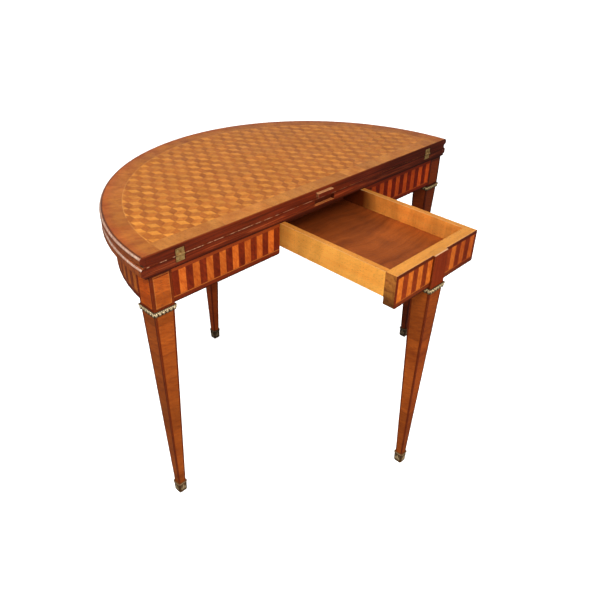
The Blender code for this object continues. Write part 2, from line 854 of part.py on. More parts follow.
def drawer_side(side_name, side):
    """A side board with tails, grooved for the floor and housed for the back."""
    outline = side_outline(drawer_side_bottom, drawer_top,
                           drawer_face + dovetail_lap + seat_gap, drawer_rear, 0)
    middle = drawer_half_width - drawer_side_thickness / 2
    piece = plate("drawer_side_" + side_name, outline, drawer_side_thickness, "X",
                  (side * middle, 0, 0), drawer, waxed_drawer_wood)
    low, high = mirrored((drawer_inner_half - overrun, back_board_front - seat_gap,
                          drawer_floor_top),
                         (drawer_inner_half + housing_depth, back_board_rear + seat_gap,
                          drawer_top + overrun), side)
    cut(piece, floor_groove("groove_" + side_name, drawer_inner_half + groove_depth,
                            drawer_face - overrun, drawer_rear + overrun),
        box("housing_" + side_name, low, high, drawer))


def drawer_back():
    """The back board, standing on the floor and lower than the sides."""
    half = drawer_inner_half + housing_depth - seat_gap
    box("drawer_back", (-half, back_board_front, drawer_floor_top + seat_gap),
        (half, back_board_rear, drawer_top - drawer_back_drop), drawer, waxed_drawer_wood)


def drawer_bottom():
    """The floor, let into grooves of the front and sides."""
    half = drawer_inner_half + groove_depth - seat_gap
    box("drawer_bottom", (-half, front_back_face - groove_depth + seat_gap, floor_bottom),
        (half, drawer_rear, drawer_floor_top), drawer, (drawer_floor_wood, bare_wood_share, 0))


def drawer_post():
    """The drawer leg's post, cut back to a stile in the front board's housing."""
    half = post_width / 2 + overrun
    low = (-half, drawer_face + post_housing, apron_bottom - seat_gap)
    high = (half, drawer_face + post_width, drawer_top + overrun)
    cut(leg_drawer, box("post_cutback", low, high, drawer))


drawer_front()
drawer_side("left", -1)
drawer_side("right", 1)
drawer_back()
drawer_bottom()
drawer_post()
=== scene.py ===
import math

import bpy
from mathutils import Matrix, Vector


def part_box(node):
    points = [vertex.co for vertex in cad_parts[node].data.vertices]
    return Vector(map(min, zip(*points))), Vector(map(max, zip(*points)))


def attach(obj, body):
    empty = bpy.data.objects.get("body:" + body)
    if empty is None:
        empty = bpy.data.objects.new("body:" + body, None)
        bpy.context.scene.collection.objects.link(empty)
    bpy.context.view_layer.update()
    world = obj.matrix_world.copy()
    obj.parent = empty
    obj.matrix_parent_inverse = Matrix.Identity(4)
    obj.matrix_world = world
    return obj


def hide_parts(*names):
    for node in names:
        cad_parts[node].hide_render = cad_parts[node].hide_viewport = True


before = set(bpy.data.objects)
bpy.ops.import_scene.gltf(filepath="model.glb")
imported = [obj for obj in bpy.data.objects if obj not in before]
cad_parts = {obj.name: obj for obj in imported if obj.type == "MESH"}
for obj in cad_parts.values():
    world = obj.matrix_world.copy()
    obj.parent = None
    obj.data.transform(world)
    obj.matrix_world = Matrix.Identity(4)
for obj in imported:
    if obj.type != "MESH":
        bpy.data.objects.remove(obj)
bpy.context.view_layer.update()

# Sizes, in metres, as the solids have them

edge_y = -0.09765
leaf_radius = 0.560
leaf_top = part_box("folding_leaf")[1].z
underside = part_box("fixed_leaf")[0].z
apron_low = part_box("left_apron")[0].z
apron_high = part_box("left_apron")[1].z
apron_radius = 0.538
post_half = 0.02685
collar_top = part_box("collar_left")[1].z
drawer_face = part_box("drawer_front")[0].y
drawer_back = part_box("drawer_front")[1].y
drawer_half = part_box("drawer_front")[1].x
drawer_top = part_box("drawer_front")[1].z
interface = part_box("fixed_leaf")[1].z
plate_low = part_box("hinge_fixed_left")[0]
plate_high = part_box("hinge_moving_left")[1]
curved_apron_start = 0.0540
mortise_half = 0.045
mortise_depth = 0.012

# Sizes that only the veneers have

cube_pitch = 0.03775
cube_row_pair = 0.06388
cube_start_x = -0.42368
cube_start_y = 0.0805
cube_seam = 0.00022
straight_border = 0.0425
curved_border = 0.0535
straight_length = 0.071
curved_length = 0.084
moulding_length = 0.062
half_joint = 0.00025
stripe_low = apron_low + 0.0146
stripe_high = apron_high - 0.0080
left_stripe = 0.01894
left_stripe_start = 0.4697
right_stripe = 0.0191
right_stripe_start = 0.4636
drawer_left_stripe = 0.0185
drawer_left_start = -0.1567
drawer_right_stripe = 0.0200
drawer_right_start = 0.0322
curved_stripes = 45
veneer = 0.0015

# Stripes are numbered from here, so that no number is negative

even_start = 100.0
odd_start = 101.0

# Camera

camera_place = Vector((-1.11765, -1.07519, 1.36002))
camera_heading = 0.82371
camera_dip = 0.58439
camera_roll = 0.03114
camera_focal_pixels = 613.678
picture_pixels = 612
sensor = 36.0


def tone(red, green, blue):
    """A colour given on the 0 to 255 scale, as the light that it stands for."""
    def light(level):
        level = level / 255
        return level / 12.92 if level <= 0.04045 else ((level + 0.055) / 1.055) ** 2.4
    return (light(red), light(green), light(blue), 1.0)


# Finishes: sums on sockets, and one bench that adds every other node


class Value:
    """What one socket gives. Sums written with it add their own nodes."""

    def __init__(self, bench, socket):
        self.bench = bench
        self.socket = socket

    def sum(self, operation, *values):
        return self.bench.node("ShaderNodeMath", {"operation": operation}, dict(enumerate(values)))

    def __add__(self, other):
        return self.sum("ADD", self, other)

    __radd__ = __add__

    def __sub__(self, other):
        return self.sum("SUBTRACT", self, other)

    def __rsub__(self, other):
        return self.sum("SUBTRACT", other, self)

    def __mul__(self, other):
        return self.sum("MULTIPLY", self, other)

    __rmul__ = __mul__

    def __truediv__(self, other):
        return self.sum("DIVIDE", self, other)

    def __rtruediv__(self, other):
        return self.sum("DIVIDE", other, self)

    def __mod__(self, other):
        return self.sum("FLOORED_MODULO", self, other)

    def __abs__(self):
        return self.sum("ABSOLUTE", self)

    def __neg__(self):
        return self.sum("MULTIPLY", self, -1.0)

    def floor(self):
        return self.sum("FLOOR", self)

    def nearest(self):
        return self.sum("ROUND", self)

    def root(self):
        return self.sum("SQRT", self)

    def least(self, other):
        return self.sum("MINIMUM", self, other)

    def most(self, other):
        return self.sum("MAXIMUM", self, other)

    def past(self, edge, blur=0.0002):
        """1 where the value is over the edge, 0 where it is under, with a soft step between."""
        return self.bench.node("ShaderNodeMath", {"operation": "MULTIPLY_ADD", "use_clamp": True},
                               {0: self - edge, 1: 1 / blur, 2: 0.5})

    def under(self, edge, blur=0.0002):
        return 1 - self.past(edge, blur)

    def line(self, middle, width, blur=0.0002):
        """1 on a line of this width round the middle value."""
        return abs(self - middle).under(width / 2, blur)

    def stretched(self, gain):
        """More contrast round the middle, kept from 0 to 1."""
        return self.bench.node("ShaderNodeMath", {"operation": "MULTIPLY_ADD", "use_clamp": True},
                               {0: self, 1: gain, 2: 0.5 - gain / 2})


class Bench:
    """One material under way, with the coordinates that its pattern is drawn on."""

    def __init__(self, name, kind="materials", shader="BSDF_PRINCIPLED", spot="Object"):
        self.material = getattr(bpy.data, kind).new(name)
        self.material.use_nodes = True
        self.tree = self.material.node_tree
        self.shader = next(n for n in self.tree.nodes if n.type == shader)
        self.axes = self.coordinates(spot)
        self.x, self.y, self.z = self.axes

    def node(self, kind, settings, values, out=0):
        """Any node: its settings first, then the values or links of its sockets."""
        made = self.tree.nodes.new(kind)
        for name, setting in settings.items():
            setattr(made, name, setting)
        for key, value in values.items():
            self.feed(made.inputs[key], value)
        return Value(self, made.outputs[out])

    def feed(self, socket, value):
        if isinstance(value, Value):
            self.tree.links.new(value.socket, socket)
        else:
            socket.default_value = tone(*value) if socket.type == "RGBA" else value

    def coordinates(self, kind):
        place = self.node("ShaderNodeTexCoord", {}, {}, kind)
        first = self.node("ShaderNodeSeparateXYZ", {}, {0: place})
        return [Value(self, out) for out in first.socket.node.outputs]

    def facing(self):
        """Which way the surface looks, as three numbers."""
        return self.coordinates("Normal")

    def noise(self, x, y, z, detail=2.0, rough=0.5):
        spot = self.node("ShaderNodeCombineXYZ", {}, {0: x, 1: y, 2: z})
        return self.node("ShaderNodeTexNoise", {"noise_dimensions": "3D"},
                         {"Vector": spot, "Scale": 1.0, "Detail": detail, "Roughness": rough})

    def cloud(self, scale, detail=2.0, rough=0.5, seed=0.0):
        """Noise that is as fine in all three directions."""
        x, y, z = self.axes
        return self.noise(x * scale + seed, y * scale, z * scale, detail, rough)

    def chance(self, value):
        """A random number from 0 to 1 that is the same wherever the value is the same."""
        return self.node("ShaderNodeTexWhiteNoise", {"noise_dimensions": "1D"}, {"W": value})

    def mix(self, share, first, second):
        return self.node("ShaderNodeMix", {"data_type": "RGBA"}, {0: share, 6: first, 7: second}, 2)

    def scaled(self, colour, share):
        return self.node("ShaderNodeVectorMath", {"operation": "SCALE"}, {0: colour, 3: share})

    def tinted(self, colour, red, green, blue):
        return self.node("ShaderNodeVectorMath", {"operation": "MULTIPLY"},
                         {0: colour, 1: (red, green, blue)})

    def toned(self, share, colour, red, green, blue):
        """The colour, tinted where share is 1."""
        return self.mix(share, colour, self.tinted(colour, red, green, blue))

    def pick(self, share, first, second):
        """The first number where share is 1, and the second where it is 0."""
        return second + (first - second) * share

    def finish(self, colour, rough, height=None, depth=0.0002, gloss=0.25, metal=0.0):
        """Joins the pattern to the shader. What is the same all over goes on its own sockets."""
        for name, value in (("Base Color", colour), ("Roughness", rough), ("Metallic", metal),
                            ("Specular IOR Level", gloss)):
            self.feed(self.shader.inputs[name], value)
        if height is not None:
            bump = self.node("ShaderNodeBump", {}, {"Strength": 1.0, "Distance": depth,
                                                   "Height": height})
            self.feed(self.shader.inputs["Normal"], bump)
        return self.material


def grain(bench, along, across, deep, seed, ring=0.010, fibre=0.0009):
    """Wood whose grain runs along the first direction: its shade and its open pores."""
    start = seed * 3.7
    drift = bench.noise(along * 3.0 + start, across * 8.0 + start, deep * 8.0, 1.0) - 0.5
    bent = across + drift * 0.03
    rings = bench.noise(along * 1.6 + start, bent / ring, deep / ring + start, 3.0, 0.6)
    cloud = bench.noise(along * 9.0, across * 20.0 + start, deep * 20.0, 2.0)
    fibres = bench.noise(along * 45.0, across / fibre + start, deep / fibre, 2.0)
    pores = bench.noise(along * 130.0 + start, across / (fibre * 0.6), deep / (fibre * 0.6), 0.0)
    shade = (rings * 0.5 + cloud * 0.3 + fibres * 0.2).stretched(2.4)
    return shade, fibres, pores.past(0.69, 0.06)


def stained(bench, shade, pores, dark, light, pore_depth=0.45):
    """The grain's two tones, darker in the pores."""
    return bench.scaled(bench.mix(shade, dark, light), 1 - pores * pore_depth)


def laid(bench, where, over, under):
    """One surface over another. Each is a colour and a height."""
    return bench.mix(where, under[0], over[0]), bench.pick(where, over[1], under[1])


def polish(bench, seed, least, spread):
    """Roughness of an old polish: rubbed and handled in patches."""
    patches = bench.cloud(14.0, 3.0, 0.6, seed)
    smears = bench.noise(bench.x * 60.0, bench.y * 25.0 + seed, bench.z * 60.0, 2.0)
    return (patches * 0.7 + smears * 0.3).stretched(1.8) * spread + least


def dress(material, *names):
    for name in names:
        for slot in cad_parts[name].material_slots:
            slot.material = material


# Leaves

red_rim = 0.022
front_arris_width = 0.0022
rim_arris_width = 0.0088
string_width = 0.0012
top_skin = 0.003
upper_arris = 0.0026
lower_arris = 0.004
pale_strip_up = 0.012
pale_strip_width = 0.009
worn_drop = 0.0004
shadow_drop = 0.0032
line_width = 0.0018
# How far the painted shadow round the hinge plates reaches beside, under and over them
hinge_shadow_side = 0.0020
hinge_shadow_under = 0.0012
hinge_shadow_over = 0.0022
highlight_depth = 0.0042
inner_line_depth = 0.0048
bead_low_drop = 0.0054
upper_bead_drop = 0.0006
lower_bead_drop = 0.0004


def leaf_places(bench):
    """Depth behind the straight edge, distance from the centre and arc along the rim."""
    x, y = bench.x, bench.y
    deep = y - edge_y
    radius = (x * x + deep * deep).root()
    arc = x.sum("ARCTAN2", deep, x) * leaf_radius
    return deep, radius, arc


def segment(bench, run, size, seed):
    """Veneer laid in lengths: a random number for each, and the joints between them."""
    number = run / size
    joint = abs((number - number.nearest()) * size).under(half_joint)
    return bench.chance(number.floor() * 1.37 + seed), joint


def leaf_border(bench):
    """Cross-banding round a leaf: short grain along the straight edge and round the rim."""
    deep, radius, arc = leaf_places(bench)
    on_straight = radius.under(leaf_radius - curved_border, 0.0006)
    along = bench.pick(on_straight, deep, radius)
    across = bench.pick(on_straight, bench.x, arc)
    straight_chance, straight_joint = segment(bench, bench.x + 0.9, straight_length, 3.0)
    curved_chance, curved_joint = segment(bench, arc, curved_length, 8.0)
    chance = bench.pick(on_straight, straight_chance, curved_chance)
    joint = bench.pick(on_straight, straight_joint, curved_joint)
    shade, fibres, pores = grain(bench, along, across, chance * 5.0, 1.3, 0.007)
    drift = bench.noise(along * 26.0, across * 22.0, chance * 3.0, 3.0, 0.6).stretched(2.8)
    shade = shade * 0.45 + drift * 0.55
    straight_wood = stained(bench, shade, pores, (168, 88, 28), (220, 146, 66))
    curved_wood = stained(bench, shade, pores, (150, 70, 22), (210, 130, 50))
    red_wood = stained(bench, shade, pores, (150, 58, 20), (200, 104, 40))
    curved_wood = bench.mix(radius.past(leaf_radius - red_rim, 0.016) * 0.7, curved_wood, red_wood)
    wood = bench.mix(on_straight, curved_wood, straight_wood)
    arris = deep.under(front_arris_width, 0.0012).most(
        radius.past(leaf_radius - rim_arris_width, 0.0016)) * 0.35
    colour = bench.scaled(wood, (chance - 0.5) * 0.24 + 1.0 - joint * 0.22 - arris)
    return colour, fibres - pores * 0.8 - joint * 0.6


def cube_veneers(bench):
    """Cubes of three lozenges each, in a honeycomb: light, dark and between."""
    deep = bench.y - edge_y
    squash = cube_row_pair / (cube_pitch * math.sqrt(3))

    def honeycomb(shift):
        column = (bench.x - cube_start_x) / cube_pitch + shift
        row = (deep - cube_start_y) / cube_row_pair + shift
        u = (column - column.nearest()) * cube_pitch
        v = (row - row.nearest()) * (cube_row_pair / squash)
        return u, v, column.nearest() * 7.13 + row.nearest() * 3.71 + shift * 11.0

    u1, v1, name1 = honeycomb(0.0)
    u2, v2, name2 = honeycomb(0.5)
    first = (u2 * u2 + v2 * v2 - (u1 * u1 + v1 * v1)).past(0.0, 1e-7)
    u = bench.pick(first, u1, u2)
    v = bench.pick(first, v1, v2)
    name = bench.pick(first, name1, name2)
    slope = abs(u) / math.sqrt(3)
    top = v.past(slope)
    left = (1 - top) * u.under(0.0)
    right = 1 - top - left
    seam_top = abs(v - slope) * math.cos(math.pi / 6)
    seam_middle = abs(u) + v.past(0.0) * 0.01
    seam_out = cube_pitch / 2 - abs(u).most(abs(u) * 0.5 + abs(v) * (math.sqrt(3) / 2))
    seam = seam_top.least(seam_middle).least(seam_out).under(cube_seam)
    chance = bench.chance(name + top * 1.9 + left * 5.3)
    cosine = (top - left) * math.cos(math.pi / 6)
    sine = (top + left) * 0.5 + right
    along = u * cosine + v * sine
    across = v * cosine - u * sine
    shade, fibres, pores = grain(bench, along + chance * 3.0, across + chance, chance * 9.0, 0.7,
                                 0.006)
    mottle = bench.noise(along * 70.0 + chance * 5.0, across * 90.0, chance * 7.0, 3.0, 0.6)
    shade = shade * 0.6 + mottle.stretched(2.4) * 0.4
    dark = bench.mix(left, bench.mix(top, (156, 76, 20), (170, 88, 24)), (200, 114, 32))
    light = bench.mix(left, bench.mix(top, (206, 122, 42), (218, 134, 48)), (242, 164, 66))
    # Painted sheen: towards the right, the dark and light lozenges are drawn towards one mid tone
    painted_sheen = bench.x.past(0.05, 1.1)
    dark = bench.mix(painted_sheen, dark, bench.mix(0.4, dark, (178, 98, 34)))
    light = bench.mix(painted_sheen, light, bench.mix(0.4, light, (214, 134, 56)))
    colour = bench.scaled(stained(bench, shade, pores, dark, light, 0.3),
                          (chance - 0.5) * 0.24 + 1.0 - seam * 0.25)
    return colour, fibres - pores - seam * 0.8


def straight_edge(bench):
    """The leaves' straight edges, dark red-brown; wear and a painted highlight on the arris
    between.
    """
    x, z = bench.x, bench.z
    shade, fibres, pores = grain(bench, x, z, 0.0, 5.0, 0.004)
    wood = stained(bench, shade, pores, (64, 18, 8), (122, 45, 20))
    streak = bench.noise(x * 7.0, z * 330.0, 2.0, 2.0)
    wood = bench.scaled(wood, streak.stretched(3.0) * 0.9 + 0.58)
    wood = bench.mix(z.past(leaf_top - upper_arris, 0.002) * 0.55, wood, (150, 66, 30))
    pale_streak = bench.noise(x * 11.0, z * 300.0, 5.0, 2.0).past(0.55, 0.1)
    lower_strip = z.line(underside + pale_strip_up, pale_strip_width, 0.005)
    wood = bench.mix(lower_strip * pale_streak * 0.6, wood, (178, 84, 44))
    wood = bench.mix(z.under(underside + lower_arris, 0.004) * 0.7, wood, (40, 10, 5))
    chips = bench.noise(x * 60.0, z * 30.0, 7.0, 3.0, 0.65).past(0.50, 0.14)
    # A broken pale line along the arris between the leaves: wear and a painted highlight, fading
    # out towards the right
    worn = z.line(interface - worn_drop, line_width, 0.0008) * chips * x.under(-0.08, 0.6)
    wood = bench.mix(worn * 0.75, wood, (222, 168, 132))
    # Painted shadow round the hinge plates
    off_middle = abs(x)
    hinge_shadow = (off_middle.past(-plate_high.x - hinge_shadow_side, 0.001)
              * off_middle.under(-plate_low.x + hinge_shadow_side, 0.001)
              * z.past(plate_low.z - hinge_shadow_under, 0.001)
              * z.under(plate_high.z + hinge_shadow_over, 0.001))
    wood = bench.scaled(wood, 1 - hinge_shadow * 0.65)
    shadow = z.line(interface - shadow_drop, line_width, 0.0012) * z.under(interface)
    # Painted shade: darker and greyer towards the right
    wood = bench.toned(x.past(0.14, 0.4), wood, 0.50, 0.50, 0.55)
    return bench.scaled(wood, 1 - shadow * 0.55), fibres - pores * 0.8


def leaf_finish(name, with_cubes):
    """A leaf's veneers, face by face."""
    bench = Bench(name)
    x, y, z = bench.axes
    _, way_y, way_z = bench.facing()
    deep, radius, arc = leaf_places(bench)
    border = leaf_border(bench)
    upward = way_z.past(0.5, 0.1)
    if with_cubes:
        inside = radius.under(leaf_radius - curved_border)
        field = deep.past(straight_border) * inside * upward
        colour, height = laid(bench, field, cube_veneers(bench), border)
        breaks = bench.noise(arc * 24.0, 0.0, 5.0, 2.0).past(0.42, 0.12)
        string = radius.line(leaf_radius - curved_border, string_width) * deep.past(straight_border)
        colour = bench.mix(string * breaks * upward * 0.7, colour, (228, 160, 82))
    else:
        shade, fibres, pores = grain(bench, x, y, z, 2.0, 0.02)
        plain = stained(bench, shade, pores, (118, 66, 34), (164, 104, 58))
        mortise = (abs(x).under(mortise_half) * deep.under(mortise_depth)
                   * deep.past(0.0006) * z.under(interface - top_skin))
        # Painted light and shade in the mortise: its floor pale as lit, its walls and roof dark as
        # shade
        lit_mortise_floor = stained(bench, shade, pores, (186, 98, 48), (228, 142, 78))
        plain = bench.mix(mortise, plain, bench.mix(upward, (72, 24, 10), lit_mortise_floor))
        colour = bench.mix(upward * z.past(interface - top_skin), plain, border[0])
        height = bench.pick(upward, border[1], fibres)
    front = way_y.under(-0.5, 0.1) * deep.under(0.001)
    colour, height = laid(bench, front, straight_edge(bench), (colour, height))
    return bench.finish(colour, polish(bench, 2.0, 0.30, 0.24), height, 0.00012, 0.16)


def moulding_finish(name, seed, line_low, line_high):
    """Orange-brown wood, laid across the moulding's run in lengths, with a painted highlight on its
    bead.
    """
    bench = Bench(name)
    z = bench.z
    _, way_y, way_z = bench.facing()
    deep, radius, arc = leaf_places(bench)
    chance, joint = segment(bench, arc, moulding_length, seed)
    shade, fibres, pores = grain(bench, radius - z, arc, chance * 4.0, seed, 0.004, 0.0011)
    wood = stained(bench, shade, pores, (120, 50, 18), (190, 98, 38))
    colour = bench.scaled(wood, (chance - 0.5) * 0.3 + 1.0 - joint * 0.3)
    slant = arc + z * 1.4
    ticks = bench.noise(slant * 330.0, z * 40.0, radius * 40.0, 1.0).stretched(2.6)
    patches = bench.noise(radius * 90.0, arc * 30.0, z * 90.0, 3.0, 0.65).past(0.40, 0.3)
    # Painted highlight on the bead, broken in patches and slanting ticks like rubbed polish
    bead = z.past(line_low, 0.0014) * z.under(line_high, 0.0014)
    outer = radius.past(leaf_radius - highlight_depth, 0.0014)
    rubbed_and_highlit = bead * outer * (patches * 0.6 + 0.4) * (ticks * 0.8 + 0.2)
    colour = bench.mix(rubbed_and_highlit * 0.72, colour, (226, 208, 186))
    # Painted shade on faces that look down
    colour = bench.mix(way_z.under(-0.4, 0.5) * 0.7, colour, (60, 26, 10))
    # Painted shade in a line under the bead
    shade_under_bead = z.line(line_low - 0.0014, line_width, 0.001) * 0.5
    inner_line = radius.under(leaf_radius - inner_line_depth, 0.001) * z.past(interface)
    colour = bench.scaled(colour, (1 - inner_line * 0.72) * (1 - shade_under_bead))
    front = way_y.under(-0.5, 0.1) * deep.under(0.001)
    colour = bench.mix(front, colour, straight_edge(bench)[0])
    rough = polish(bench, seed, 0.20, 0.24)
    return bench.finish(colour, rough, fibres - pores * 0.7 - joint, 0.00035, 0.4)


def baize_finish():
    """Napped green cloth, a little worn."""
    bench = Bench("green_baize")
    nap = bench.cloud(900.0)
    lay = bench.noise(bench.x * 30.0, bench.y * 220.0, 0.0, 2.0)
    worn = bench.noise(bench.x * 6.0, bench.y * 6.0, 3.0, 3.0, 0.6).stretched(2.5)
    shade = (nap * 0.6 + lay * 0.4).stretched(1.8)
    cloth = bench.mix(shade, (22, 52, 30), (46, 88, 52))
    colour = bench.mix(worn * 0.35, cloth, (80, 104, 66))
    return bench.finish(colour, 0.95, nap + lay * 0.4, 0.0005)


# Aprons and drawer front

string_drop = 0.0014
apron_string = 0.0020
stripe_edge = 0.0006
apron_arris = 0.0032
face_gap = 0.0005
front_end = 0.0055
end_depth = 0.003
brown_end_up = 0.034


def striped_panel(bench, run, number, bands, odd_is_dark=True):
    """Upright stripes of two woods between brown borders, with a fine string under them."""
    z = bench.z
    above_tones, below_tones, pale_tones, contrast = bands
    parity = number.floor() % 2.0
    dark = parity if odd_is_dark else 1 - parity
    chance = bench.chance(number.floor() + 17.0)
    joint = abs(number - number.nearest()).under(0.012, 0.01)
    shade, fibres, pores = grain(bench, z, run, chance * 7.0, 4.0, 0.006)
    slant = run + z * 0.5
    mottle = bench.noise(slant * 130.0, z * 60.0, chance * 5.0, 3.0, 0.6).stretched(2.8)
    shade = shade * 0.5 + mottle * 0.5
    pale_wood = stained(bench, shade, pores, *pale_tones, 0.3)
    dark_wood = stained(bench, shade, pores, (78, 18, 6), (146, 50, 16))
    middle_wood = stained(bench, shade, pores, (150, 60, 18), (196, 100, 38), 0.3)
    dark_wood = bench.mix(1 - contrast, dark_wood, middle_wood)
    wood = bench.scaled(bench.mix(dark, pale_wood, dark_wood), (chance - 0.5) * 0.26 + 1.0)
    side_shade, _, side_pores = grain(bench, run, z, 0.0, 9.0, 0.005)
    above = stained(bench, side_shade, side_pores, *above_tones)
    below = stained(bench, side_shade, side_pores, *below_tones)
    string = stained(bench, side_shade, side_pores, (184, 92, 34), (220, 132, 58), 0.2)
    colour = bench.mix(z.past(stripe_high), wood, above)
    colour = bench.mix(z.under(stripe_low), colour, below)
    colour = bench.mix(z.line(stripe_low - string_drop, apron_string) * 0.8, colour, string)
    edge = z.line(stripe_high, stripe_edge).most(z.line(stripe_low, stripe_edge) * 0.5)
    arris = z.under(apron_low + apron_arris, 0.002) * 0.65
    seams = (joint * z.under(stripe_high) * z.past(stripe_low)).most(edge)
    colour = bench.scaled(colour, (1 - seams * 0.4) * (1 - arris))
    return colour, fibres - pores * 0.8 - seams * 0.8


def carcass_wood(bench, along, across, deep, seed):
    shade, fibres, pores = grain(bench, along, across, deep, seed, 0.016)
    return stained(bench, shade, pores, (132, 78, 38), (186, 124, 68)), fibres - pores


def straight_apron_finish():
    bench = Bench("straight_apron_veneer")
    x, y, z = bench.axes
    deep = y - edge_y
    on_right = x.past(0.0)
    left_number = (-x - left_stripe_start) / left_stripe + even_start
    right_number = (x - right_stripe_start) / right_stripe + odd_start
    number = bench.pick(on_right, right_number, left_number)
    bands = (((110, 38, 12), (168, 72, 26)), ((86, 26, 8), (136, 50, 18)),
             ((164, 60, 14), (226, 120, 42)), 1.0)
    colour, height = striped_panel(bench, x, number, bands, False)
    # Painted shade: the right half darker and redder, and darker still near the top as the leaf's
    # painted shadow
    leaf_shadow = 1 - z.past(apron_high - 0.012, 0.03) * 0.5
    in_shade = bench.scaled(bench.tinted(colour, 0.82, 0.50, 0.32), leaf_shadow)
    colour = bench.mix(on_right, colour, in_shade)
    inner = carcass_wood(bench, x, z, deep, 6.0)
    colour, height = laid(bench, deep.under(face_gap + veneer), (colour, height), inner)
    return bench.finish(colour, polish(bench, 5.0, 0.28, 0.25), height, 0.00014, 0.2)


def curved_apron_finish():
    bench = Bench("curved_apron_veneer")
    _, radius, arc = leaf_places(bench)
    turn = arc / leaf_radius
    post_turn = math.atan2(curved_apron_start, apron_radius)
    from_post = (turn.least(math.pi - turn) - post_turn) * apron_radius
    whole = (math.pi / 2 - post_half / apron_radius - post_turn) * apron_radius
    number = from_post / (whole / curved_stripes) + odd_start
    bands = (((120, 44, 14), (176, 80, 28)), ((100, 34, 10), (148, 60, 22)),
             ((178, 74, 18), (232, 134, 48)), 0.6)
    colour, height = striped_panel(bench, arc, number, bands)
    inner = carcass_wood(bench, arc, bench.z, radius, 7.0)
    colour, height = laid(bench, radius.past(apron_radius - veneer), (colour, height), inner)
    return bench.finish(colour, polish(bench, 6.0, 0.28, 0.25), height, 0.00014, 0.2)


def drawer_front_finish():
    """Striped face, honey-coloured solid behind it and brown end grain at the ends."""
    bench = Bench("drawer_front_veneer")
    x, y, z = bench.axes
    way_x, _, _ = bench.facing()
    on_right = x.past(0.0)
    left_number = (x - drawer_left_start) / drawer_left_stripe + even_start
    right_number = (x - drawer_right_start) / drawer_right_stripe + odd_start
    number = bench.pick(on_right, right_number, left_number)
    bands = (((64, 20, 8), (118, 50, 18)), ((84, 30, 10), (140, 62, 24)),
             ((176, 74, 18), (240, 142, 52)), 0.75)
    colour, height = striped_panel(bench, x, number, bands)
    # Painted light and shade: the stripes warmer on the left, darker and redder on the right
    colour = bench.mix(x.past(0.07, 0.04), bench.tinted(colour, 1.06, 0.94, 0.82),
                       bench.tinted(colour, 0.80, 0.56, 0.46))
    ends = abs(x).past(drawer_half - front_end, 0.001)
    colour = bench.mix(ends * 0.8, colour, (98, 32, 12))
    shade, fibres, pores = grain(bench, x, y, z, 3.0, 0.009)
    solid = stained(bench, shade, pores, (206, 126, 44), (242, 168, 74))
    worn = bench.noise(x * 22.0, y * 60.0, 4.0, 3.0, 0.6).stretched(2.0)
    arris = y.under(drawer_face + front_arris_width, 0.0016)
    solid = bench.mix(arris * (worn * 0.7 + 0.2), solid, (244, 196, 150))
    at_end = abs(way_x).past(0.5, 0.1) * abs(x).past(drawer_half - end_depth)
    solid = bench.mix(at_end, solid, brown_ends(bench))
    face = y.under(drawer_face + veneer)
    colour, height = laid(bench, face, (colour, height), (solid, fibres - pores))
    return bench.finish(colour, polish(bench, 7.0, 0.30, 0.25), height, 0.00014, 0.2)


def brown_ends(bench):
    """Mottled brown end grain, dark at its lower corner, over the drawer front's dovetails."""
    x, y, z = bench.axes
    shade, _, pores = grain(bench, x, y, z, 12.0, 0.003, 0.0006)
    blotch = bench.noise(y * 120.0, z * 120.0, 3.0, 3.0, 0.6).stretched(2.4)
    mixed = shade * 0.4 + blotch * 0.6
    wood = stained(bench, mixed, pores, (108, 50, 17), (200, 124, 56))
    dark_low = z.under(apron_low + brown_end_up, 0.05) * 0.62
    return bench.scaled(wood, 1 - dark_low)


# Legs

post_band = 0.0066
foot_band = 0.0034
band_growth = 0.0019
leg_length = 0.083
panel_low = collar_top + 0.0062
panel_high = apron_high - 0.0030
brown_line = apron_high - 0.0060
brown_width = 0.0022
leg_string = 0.0011
top_strip = 0.0032
worn_arris = 0.0010


def leg_centre(side):
    low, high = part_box("leg_" + side)
    return (low.x + high.x) / 2, (low.y + high.y) / 2


